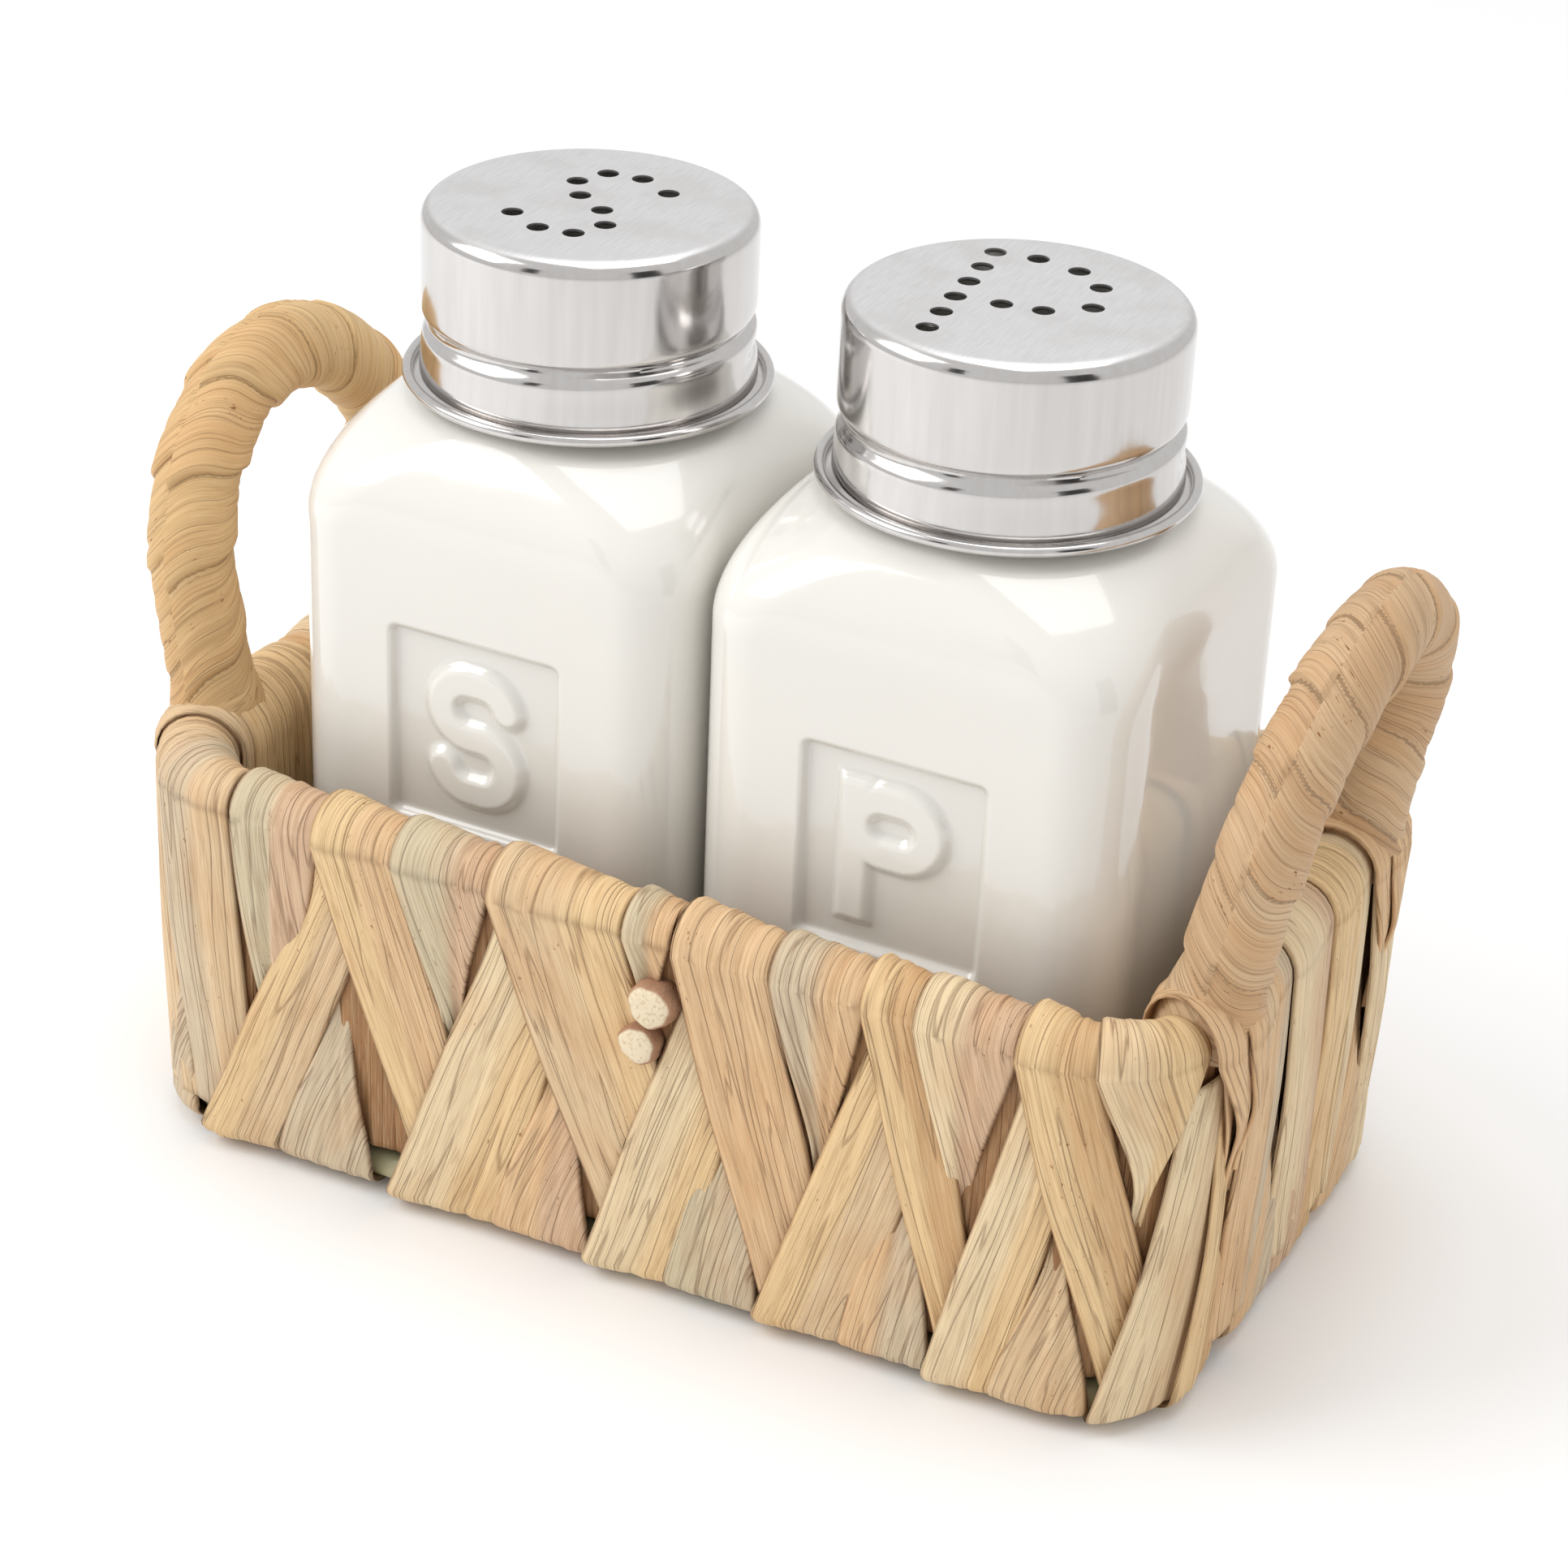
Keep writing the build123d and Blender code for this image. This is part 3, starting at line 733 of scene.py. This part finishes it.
# ----------
# Bottles: slip-cast earthenware under a thick milk-white glaze, square with soft edges, a
# domed shoulder, and a letter left standing in a sunk square panel on the front.
# ----------
bottle_low, bottle_high = (np.array(c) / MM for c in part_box("salt_bottle"))
half_width = (bottle_high[0] - bottle_low[0]) / 2
bottle_x = {"salt": (bottle_low[0] + bottle_high[0]) / 2}
bottle_x["pepper"] = -bottle_x["salt"]
foot_z = bottle_low[2]
lip_z = bottle_high[2]
EDGE_ROUND = 8.0
FOOT_ROUND = 2.5
WALL = 4.0
SHOULDER = (79.0, 92.0)
NECK_RADIUS = 17.2
BORE_RADIUS = 14.6
SHOULDER_TOP_RADIUS = 19.0
PANEL = (21.5, 23.7, 57.0, 1.1)
LETTER_HEIGHT = 18.0
STROKE = 4.1
S_FLAT = 0.8
THREAD_PITCH = 3.6
THREAD_TURNS = 1.25
thread_z = lip_z - 8.5 - THREAD_PITCH * THREAD_TURNS


def box_distance(x, z, half_x, half_z):
    """How far points lie outside a rectangle round the origin, negative inside it."""
    dx, dz = np.abs(x) - half_x, np.abs(z) - half_z
    outside = np.hypot(np.maximum(dx, 0), np.maximum(dz, 0))
    return outside + np.minimum(np.maximum(dx, dz), 0)


def slot_distance(x, z, wide, high):
    """The same for a slot with round ends, longer than it is high."""
    return box_distance(x, z, (wide - high) / 2, 0) - high / 2


def s_distance(x, z):
    """The same for an S: two bowls of an even stroke."""
    bowl = (LETTER_HEIGHT - STROKE) / 4
    upper = np.radians(np.linspace(15, 270, 40))
    shift = np.where(upper <= np.pi / 2, S_FLAT, -S_FLAT)
    half = np.stack([shift + bowl * np.cos(upper), bowl + bowl * np.sin(upper)], axis=-1)
    spine = np.concatenate([half, -half[::-1]])
    first, second = spine[:-1], spine[1:]
    along = second - first
    point = np.stack([x, z], axis=-1)[..., None, :] - first
    share = (point * along).sum(-1) / ((along**2).sum(-1) + 1e-9)
    near = point - share.clip(0, 1)[..., None] * along
    return np.sqrt((near**2).sum(-1)).min(-1) - STROKE / 2


def p_distance(x, z):
    """The same for a P: a stem, and a slot with a smaller slot taken out of it."""
    wide, high = 0.72 * LETTER_HEIGHT, 0.6 * LETTER_HEIGHT
    up = (LETTER_HEIGHT - high) / 2
    outer = slot_distance(x, z - up, wide, high)
    counter = slot_distance(x, z - up, wide - 2 * STROKE, high - 2 * STROKE)
    stem = box_distance(x - (STROKE - wide) / 2, z, STROKE / 2, LETTER_HEIGHT / 2)
    return np.minimum(np.maximum(outer, -counter), stem)


def outline_reach(angle, half, corner):
    """The distance from a rounded square's middle to its outline, by angle. half is half its
    width. Solves the straight side, or the corner's circle."""
    fold = np.abs((angle + np.pi / 4) % (np.pi / 2) - np.pi / 4)
    side = half / np.cos(fold)
    centre = half - corner
    toward = centre * (np.cos(fold) + np.sin(fold))
    inside = corner**2 - 2 * centre**2 + toward**2
    round_reach = toward + np.sqrt(np.maximum(inside, 0))
    return np.where(half * np.tan(fold) > centre, round_reach, side)


def shoulder_rows(count, inset):
    """Half width, corner radius and height along the shoulder's dome."""
    share = np.linspace(0, 1, count)
    narrowing = share**2.5
    first, last = half_width - inset, SHOULDER_TOP_RADIUS - inset + 0.15
    half = first + narrowing * (last - first)
    corner = EDGE_ROUND - inset / 2
    corner = corner + narrowing**0.6 * (SHOULDER_TOP_RADIUS - inset - corner)
    height = SHOULDER[0] - inset + share * (SHOULDER[1] - SHOULDER[0])
    return half, np.minimum(corner, half), height


def stack(*rows):
    """Joins runs of rows, each given as half widths, corner radii and heights."""
    return [np.concatenate([np.atleast_1d(r[i]) + 0.0 for r in rows]) for i in range(3)]


def bottle_rows():
    """The rows of the bottle's surface, from the middle of its foot, up the outside, over the
    lip and down the inside to the middle of its floor."""
    centre_out = np.array([0.01, 0.25, 0.5, 0.7, 0.82, 0.86])
    recess = np.array([0.7, 0.7, 0.7, 0.7, 0.6, 0.1])
    sole = half_width - FOOT_ROUND
    under = (sole * centre_out, (EDGE_ROUND - FOOT_ROUND) * centre_out, foot_z + recess)
    a = np.radians(np.linspace(0, 90, 9))
    sweep = FOOT_ROUND * (1 - np.sin(a))
    foot = (half_width - sweep, EDGE_ROUND - sweep, foot_z + FOOT_ROUND * (1 - np.cos(a)))
    heights = np.concatenate(
        [np.arange(foot_z + 4, 43, 2.4), np.arange(43, 71.3, 0.3), np.arange(72, SHOULDER[0], 1.4)]
    )
    sides = (np.full(len(heights), half_width), np.full(len(heights), EDGE_ROUND), heights)
    dome = shoulder_rows(22, 0)
    neck_z = np.linspace(SHOULDER[1] + 0.5, lip_z - 1.0, 56)
    fillet = 1.5 * (1 - smooth(neck_z, SHOULDER[1], SHOULDER[1] + 1.6)) ** 2
    neck = (NECK_RADIUS + fillet, NECK_RADIUS + fillet, neck_z)
    a = np.radians(np.linspace(0, 180, 11))
    lip_half = (NECK_RADIUS - BORE_RADIUS) / 2
    lip_r = BORE_RADIUS + lip_half + lip_half * np.cos(a)
    lip = (lip_r, lip_r, lip_z - 1.0 + 1.0 * np.sin(a))
    bore_z = np.linspace(lip_z - 2, SHOULDER[1] - 3, 12)
    bore = (np.full(12, BORE_RADIUS), np.full(12, BORE_RADIUS), bore_z)
    inner = [r[::-1] for r in shoulder_rows(16, WALL)]
    inner_z = np.linspace(SHOULDER[0] - WALL - 2, 13, 12)
    inner_corner = EDGE_ROUND - WALL / 2
    inner_half = half_width - WALL
    inside = (np.full(12, inner_half), np.full(12, inner_corner), inner_z)
    drop, turn_in = np.sin(a[:6]), 1 - np.cos(a[:6])
    low = (inner_half - 2.5 * turn_in, inner_corner - 2 * turn_in, 11.5 - 2.5 * drop)
    floor_in = np.array([0.8, 0.55, 0.3, 0.01])
    base = ((inner_half - 2.5) * floor_in, (inner_corner - 2) * floor_in, np.full(4, 9.0))
    return stack(under, foot, sides, dome, neck, lip, bore, inner, inside, low, base)


def thread_laps(turn, fade):
    """For each lap of a thread, the turns run by angle and how full it is, fading at its ends."""
    for lap in (0, 1):
        run = turn / (2 * np.pi) + lap
        yield run, smooth(run, 0, fade) * (1 - smooth(run, THREAD_TURNS - fade, THREAD_TURNS))


def bottle_piece(name, material, letter):
    """The bottle as one closed surface, its columns closest together across the panel."""
    half, corner, z = bottle_rows()
    beside = np.linspace(13, 24, 12)[1:]
    across = np.concatenate([-beside[::-1], np.arange(-13, 13.05, 0.3), beside])
    front = np.arctan2(-half_width, across)
    rest = np.linspace(front[-1], front[0] + 2 * np.pi, 110)[1:-1]
    angle = np.concatenate([front, rest])
    reach = outline_reach(angle[None, :], half[:, None], corner[:, None])
    climb = z[:, None] - thread_z
    turn = np.mod(angle, 2 * np.pi)[None, :]
    outside = (np.arange(len(z)) < np.argmax(z))[:, None]
    for run, ends in thread_laps(turn, 0.08):
        ridge = 1 - smooth(np.abs(climb - THREAD_PITCH * run), 0.35, 0.85)
        reach = reach + outside * 1.05 * ends * ridge
    x, y = reach * np.cos(angle), reach * np.sin(angle)
    height = np.broadcast_to(z[:, None], x.shape).copy()
    wide, high, middle, depth = PANEL
    facing = outside & (y < -half_width + 0.6) & (height > 40) & (height < 72)
    sunk = box_distance(x, height - middle, wide / 2 - 0.8, high / 2 - 0.8) - 0.8
    sunk = 1 - smooth(sunk, -0.45, 0.5)
    raised = 1 - smooth(letter(x, height - middle), -0.75, 0.55)
    floor_depth = depth * (sunk - 0.96 * raised)
    y = y + np.where(facing, floor_depth, 0)
    points = np.stack([x + bottle_x[name], y, height], axis=-1)
    tint = np.broadcast_to(linear(229, 226, 219), points.shape)
    # Painted shade: marks the sunk panel's floor, and the whole inside, to be darkened.
    recess_shade = np.where(facing, floor_depth / depth, 0) + np.where(outside, 0, 0.3)
    loops_mesh(
        f"{name}_glazed_bottle", [(points, points, tint, recess_shade)], material,
        f"{name}_shaker", [f"{name}_bottle"],
    )


glaze, shader, root = new_material("milk_white_glaze")
place = root.add("TexCoord", output=3)
recess_shade = root.add("Attribute", output=2, attribute_name="leaf_edge")
height = root.add("SeparateXYZ", {0: place}, output=2)
cloud = place.noise(38, 2)
grit = place.noise(2600, 1)
white = root.add("Attribute", attribute_name="leaf_tint").blend(
    rgb(226, 224, 218), cloud.step(0.35, 0.7) * 0.5
)
# Painted shade: darker on the sunk panel's floor and inside the bottle.
recess_shaded = white.blend(rgb(216, 214, 208), recess_shade.step(0.2, 1.0) * 0.35)
pinhole = recess_shaded.blend(rgb(176, 168, 156), grit.step(0.80, 0.86) * 0.25)
bare = 1 - height.step(foot_z * MM + 0.0001, foot_z * MM + 0.0006)
clay = pinhole.blend(rgb(222, 212, 196), bare)
wavy = place.noise(70, 2) + grit * 0.02
flow = root.add("Bump", {"Height": wavy, "Distance": 0.00035, "Strength": 0.5})
feed(shader, Base_Color=clay, Roughness=bare * 0.6 + cloud * 0.05 + 0.10, Normal=flow)
feed(shader, Coat_Weight=0.6, Coat_Roughness=0.03, IOR=1.52)

bottle_piece("salt", glaze, s_distance)
bottle_piece("pepper", glaze, p_distance)

# ----------
# Washers: a soft white ring punched from foam sheet, pressed into the top of each lid.
# ----------
foam, shader, root = new_material("white_foam_washer")
place = root.add("TexCoord", output=3)
cells = place.noise(1500, 3, 0.65)
marked = root.paint(232, 230, 224).blend(rgb(206, 203, 194), cells.step(0.45, 0.7) * 0.5)
sponge = root.add("Bump", {"Height": cells, "Distance": 0.0001, "Strength": 0.6})
feed(shader, Base_Color=marked, Roughness=cells * 0.2 + 0.6, Normal=sponge)
dress("salt_washer", foam)
dress("pepper_washer", foam)

# ----------
# Lids: stainless sheet pressed into a cup, its top brushed and punched, its side polished,
# with a rolled thread below the plain band and the lower edge curled outwards.
# ----------
lid_low, lid_high = (np.array(c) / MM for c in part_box("salt_lid"))
lid_z = lid_high[2]
LID_RADIUS = 19.0
SHEET = 0.45
TOP_ROUND = 1.9
CURL = 0.62
HOLE_RADIUS = 1.25
hole_reach = BORE_RADIUS + 0.3 - HOLE_RADIUS - 0.15
curl_r = LID_RADIUS + 2.2 - CURL
curl_z = lid_low[2] + CURL
flat_radius = LID_RADIUS - TOP_ROUND
roll_z = thread_z - THREAD_PITCH / 2


def lid_profile():
    """Radius and height down the outside, round the curl and up the inside, and how much of
    the rolled thread each point takes."""
    a = np.radians(np.linspace(90, 0, 9))
    top_r, top_z = flat_radius + TOP_ROUND * np.cos(a), lid_z - TOP_ROUND + TOP_ROUND * np.sin(a)
    side_z = np.linspace(lid_z - 2, 102.5, 12)
    side_z = np.concatenate([side_z, np.arange(102.2, curl_z - 0.1, -0.22)])
    side_r = np.full(len(side_z), LID_RADIUS)
    side_r = side_r - 0.34 * np.exp(-(((side_z - 100.6) / 0.45) ** 2))
    side_r = side_r + 0.25 * (1 - smooth(side_z, curl_z, 98.5))
    a = np.radians(np.linspace(195, -120, 26))
    curl_ring_r, curl_ring_z = curl_r + CURL * np.cos(a), curl_z + CURL * np.sin(a)
    up_z = side_z[::-1]
    up_r = side_r[::-1] - SHEET
    a = np.radians(np.linspace(0, 90, 7))
    inner_r = flat_radius - 0.2 + (TOP_ROUND - SHEET) * np.cos(a) + 0.2 * np.cos(a)
    inner_z = lid_z - TOP_ROUND + (TOP_ROUND - SHEET) * np.sin(a)
    r = np.concatenate([top_r, side_r, curl_ring_r, up_r, inner_r])
    z = np.concatenate([top_z, side_z, curl_ring_z, up_z, inner_z])
    takes = np.concatenate(
        [np.zeros(len(top_r)), np.ones(len(side_r)), np.zeros(26), np.ones(len(up_r)), np.zeros(7)]
    )
    return r, z, takes


def half_turned(places):
    """Hole places, then the same places turned half way round."""
    return places + [(-x, -y) for x, y in places]


hole_places = {
    "salt": half_turned([(0.56, 0.40), (0.27, 0.67), (-0.04, 0.71), (-0.24, 0.46), (-0.13, 0.14)]),
    "pepper": [(-0.48, 0.87 - 0.348 * k) for k in range(6)]
    + [(-0.12, 0.88), (0.26, 0.76), (0.52, 0.49), (0.58, 0.06), (0.24, -0.16), (-0.10, -0.17)],
}
letter_turn = {"salt": np.radians(15), "pepper": np.radians(7)}


def lid_piece(name, material):
    """The side as a turned profile, and the top as a triangulated disc with holes in it, its
    two faces joined by the walls of the holes. The rings they share are the same points."""
    columns = 192
    turn = np.linspace(0, 2 * np.pi, columns + 1)[:-1]
    r, z, takes = lid_profile()
    radius = np.broadcast_to(r[:, None], (len(r), columns)).copy()
    for run, ends in thread_laps(turn[None, :], 0.1):
        climb = np.abs(z[:, None] - roll_z - THREAD_PITCH * run)
        radius = radius - takes[:, None] * ends * 0.8 * np.exp(-((climb / 0.8) ** 2))
    side = np.broadcast_arrays(radius * np.cos(turn), radius * np.sin(turn), z[:, None])
    side = np.stack(side, axis=-1)
    rows = len(r)
    index = np.arange(rows * columns).reshape(rows, columns)
    faces = loop_quads(index[::-1])

    ring = np.stack([np.cos(turn), np.sin(turn)], axis=-1)
    small = np.linspace(0, 2 * np.pi, 29)[:-1]
    small = np.stack([np.cos(small), np.sin(small)], axis=-1)
    twist = letter_turn[name]
    cos, sin = np.cos(twist), np.sin(twist)
    turned = np.array([[cos, sin], [-sin, cos]])
    centres = hole_reach * np.array(hole_places[name]) @ turned
    flat = [ring * flat_radius] + [c + small * HOLE_RADIUS for c in centres]
    sizes = [len(f) for f in flat]
    starts = np.concatenate([[0], np.cumsum(sizes)])
    loops = [list(range(a, b)) for a, b in zip(starts[:-1], starts[1:])]
    loops[1:] = [loop[::-1] for loop in loops[1:]]
    points = np.concatenate(flat)
    made = delaunay_2d_cdt([tuple(map(float, p)) for p in points], [], loops, 1, 1e-7)
    plate = np.array([tuple(v) for v in made[0]])
    middles = np.array([plate[list(t)].mean(axis=0) for t in made[2]])
    clear = np.linalg.norm(middles[:, None] - centres, axis=2).min(axis=1) > HOLE_RADIUS
    tris = [t for t, kept in zip(made[2], clear) if kept]
    origin = [source[0] if source else -1 for source in made[3]]

    upper = rows * columns
    count = len(plate)
    ring_top = {k: int(index[0, k]) for k in range(columns)}
    ring_low = {k: int(index[-1, k]) for k in range(columns)}
    to_upper = [ring_top[o] if 0 <= o < columns else upper + i for i, o in enumerate(origin)]
    lower = upper + count
    to_lower = [ring_low[o] if 0 <= o < columns else lower + i for i, o in enumerate(origin)]
    faces += [[to_upper[i] for i in t] for t in tris]
    faces += [[to_lower[i] for i in t[::-1]] for t in tris]
    place_of = {o: i for i, o in enumerate(origin)}
    for a, b in zip(starts[1:-1], starts[2:]):
        for k in range(a, b):
            i, j = place_of[k], place_of[a + (k + 1 - a) % (b - a)]
            faces.append([to_upper[j], to_upper[i], to_lower[i], to_lower[j]])
    heights = np.concatenate([np.full(count, lid_z), np.full(count, lid_z - SHEET)])
    plates = np.column_stack([np.concatenate([plate, plate]), heights])
    vertices = np.concatenate([side.reshape(-1, 3), plates]) + np.array([bottle_x[name], 0, 0])
    mesh = bpy.data.meshes.new(f"{name}_steel_lid")
    mesh.from_pydata((vertices * MM).tolist(), [], faces)
    shell = bmesh.new()
    shell.from_mesh(mesh)
    spare = [v for v in shell.verts if not v.link_faces]
    bmesh.ops.delete(shell, geom=spare, context="VERTS")
    bmesh.ops.recalc_face_normals(shell, faces=shell.faces)
    shell.to_mesh(mesh)
    shell.free()
    mesh.shade_smooth()
    mesh.set_sharp_from_angle(angle=np.radians(40))
    lid = placed(mesh, material)
    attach(lid, f"{name}_screw_lid")
    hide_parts(f"{name}_lid")


steel, shader, root = new_material("stainless_sheet")
place = root.add("TexCoord", output=3)
level = root.add("SeparateXYZ", {0: place}, output=2)
on_top = level.step((lid_z - 0.5) * MM, (lid_z - 0.1) * MM)
brush = place.stretch(5200, 260, 900).noise(1.0, 3, 0.6)
drawn = place.stretch(900, 900, 60).noise(1.0, 2, 0.5)
smudge = place.noise(130, 3)
toned = root.paint(232, 231, 231).blend(rgb(206, 205, 205), brush.step(0.35, 0.7) * on_top * 0.5)
# Painted shade and painted reflections: the side is darker than the top, in streaks.
side_shaded = toned.blend(rgb(198, 194, 191), (1 - on_top) * (drawn * 0.5 + 0.5))
rubbed = side_shaded.blend(rgb(204, 202, 200), smudge.step(0.45, 0.7) * 0.35)
matt = on_top * (brush * 0.14 + 0.20) + drawn * 0.07 + smudge * 0.05 + 0.08
scratch = brush * on_top + drawn * 0.35 * (1 - on_top) + smudge * 0.2
fine = root.add("Bump", {"Height": scratch, "Distance": 0.00003, "Strength": 0.6})
feed(shader, Base_Color=rubbed, Roughness=matt, Normal=fine, Metallic=1.0)
lid_piece("salt", steel)
lid_piece("pepper", steel)

# ----------
# Floor, light and camera: a pale sweep, two large soft lamps and a long lens.
# ----------


def stage_sheet(name, corners, material):
    """A flat sheet with four corners, which is no part of the object."""
    mesh = bpy.data.meshes.new(name)
    mesh.from_pydata(corners, [], [(0, 1, 2, 3)])
    sheet = placed(mesh, material)
    return sheet


paper, shader, root = new_material("white_paper")
feed(shader, Base_Color=(0.9, 0.9, 0.9, 1), Roughness=0.9)
stage_sheet("floor", [(-4, -4, 0), (4, -4, 0), (4, 4, 0), (-4, 4, 0)], paper)

scene.view_settings.view_transform = "Standard"
world = bpy.data.worlds.new("studio")
world.use_nodes = True
sky = world.node_tree.nodes["Background"].inputs
sky["Color"].default_value = (1, 1, 1, 1)
sky["Strength"].default_value = 0.80
scene.world = world


def aim(place, target, roll_degrees=0.0):
    """The turn that points an object's -Z at a target, with +Y up, rolled about its sight."""
    back = np.array(place, float) - np.array(target, float)
    back /= np.linalg.norm(back)
    right = np.cross((0, 0, 1), back)
    right /= np.linalg.norm(right)
    up = np.cross(back, right)
    roll = np.radians(roll_degrees)
    cos, sin = np.cos(roll), np.sin(roll)
    right, up = cos * right + sin * up, cos * up - sin * right
    turn = Matrix(np.stack([right, up, back], axis=1).tolist()).to_4x4()
    turn.translation = place
    return turn


def soft_lamp(name, place, target, size, power):
    """A square area lamp, aimed."""
    light = bpy.data.lights.new(name, "AREA")
    light.size = size
    light.energy = power
    lamp = bpy.data.objects.new(name, light)
    scene.collection.objects.link(lamp)
    lamp.matrix_world = aim(place, target)


soft_lamp("left_softbox", (-0.55, -0.35, 0.55), (0, 0, 0.05), 0.5, 3.0)
soft_lamp("top_softbox", (0.05, 0.1, 0.9), (0, 0, 0.05), 0.6, 2.5)


def dark_board(name, middle, across, high):
    """An upright dark board beside the set, out of the picture, for the steel to mirror."""
    middle, across = np.array(middle, float), np.array(across, float)
    up = np.array([0, 0, high / 2])
    low, top = middle - up, middle + up
    board = stage_sheet(name, [low - across, low + across, top + across, top - across], felt)
    board.visible_camera = board.visible_diffuse = board.visible_shadow = False


felt, shader, root = new_material("dark_felt")
feed(shader, Base_Color=(0.03, 0.03, 0.03, 1), Roughness=0.95)
dark_board("right_board", (0.62, -0.28, 0.30), (0.05, 0.11, 0), 0.5)
dark_board("left_board", (-0.16, -0.75, 0.36), (0.07, -0.01, 0), 0.4)

camera_turn = 26.16
camera_rise = 29.07
camera_far = 0.4488
camera_roll = 2.438
camera_shift = (0.00037, -0.0071)
sight = bpy.data.cameras.new("camera")
sight.sensor_width = 36
sight.lens = 88.83
sight.clip_start = 0.01
camera = bpy.data.objects.new("camera", sight)
scene.collection.objects.link(camera)
turn, rise = np.radians(camera_turn), np.radians(camera_rise)
backward = np.array([np.sin(turn) * np.cos(rise), -np.cos(turn) * np.cos(rise), np.sin(rise)])
target = np.array([0, 0, 0.055])
pose = aim(target + camera_far * backward, target, camera_roll)
aside, above = (np.array(pose.col[i])[:3] * camera_shift[i] for i in (0, 1))
pose.translation = (target + camera_far * backward + (aside + above)).tolist()
camera.matrix_world = pose
scene.camera = camera
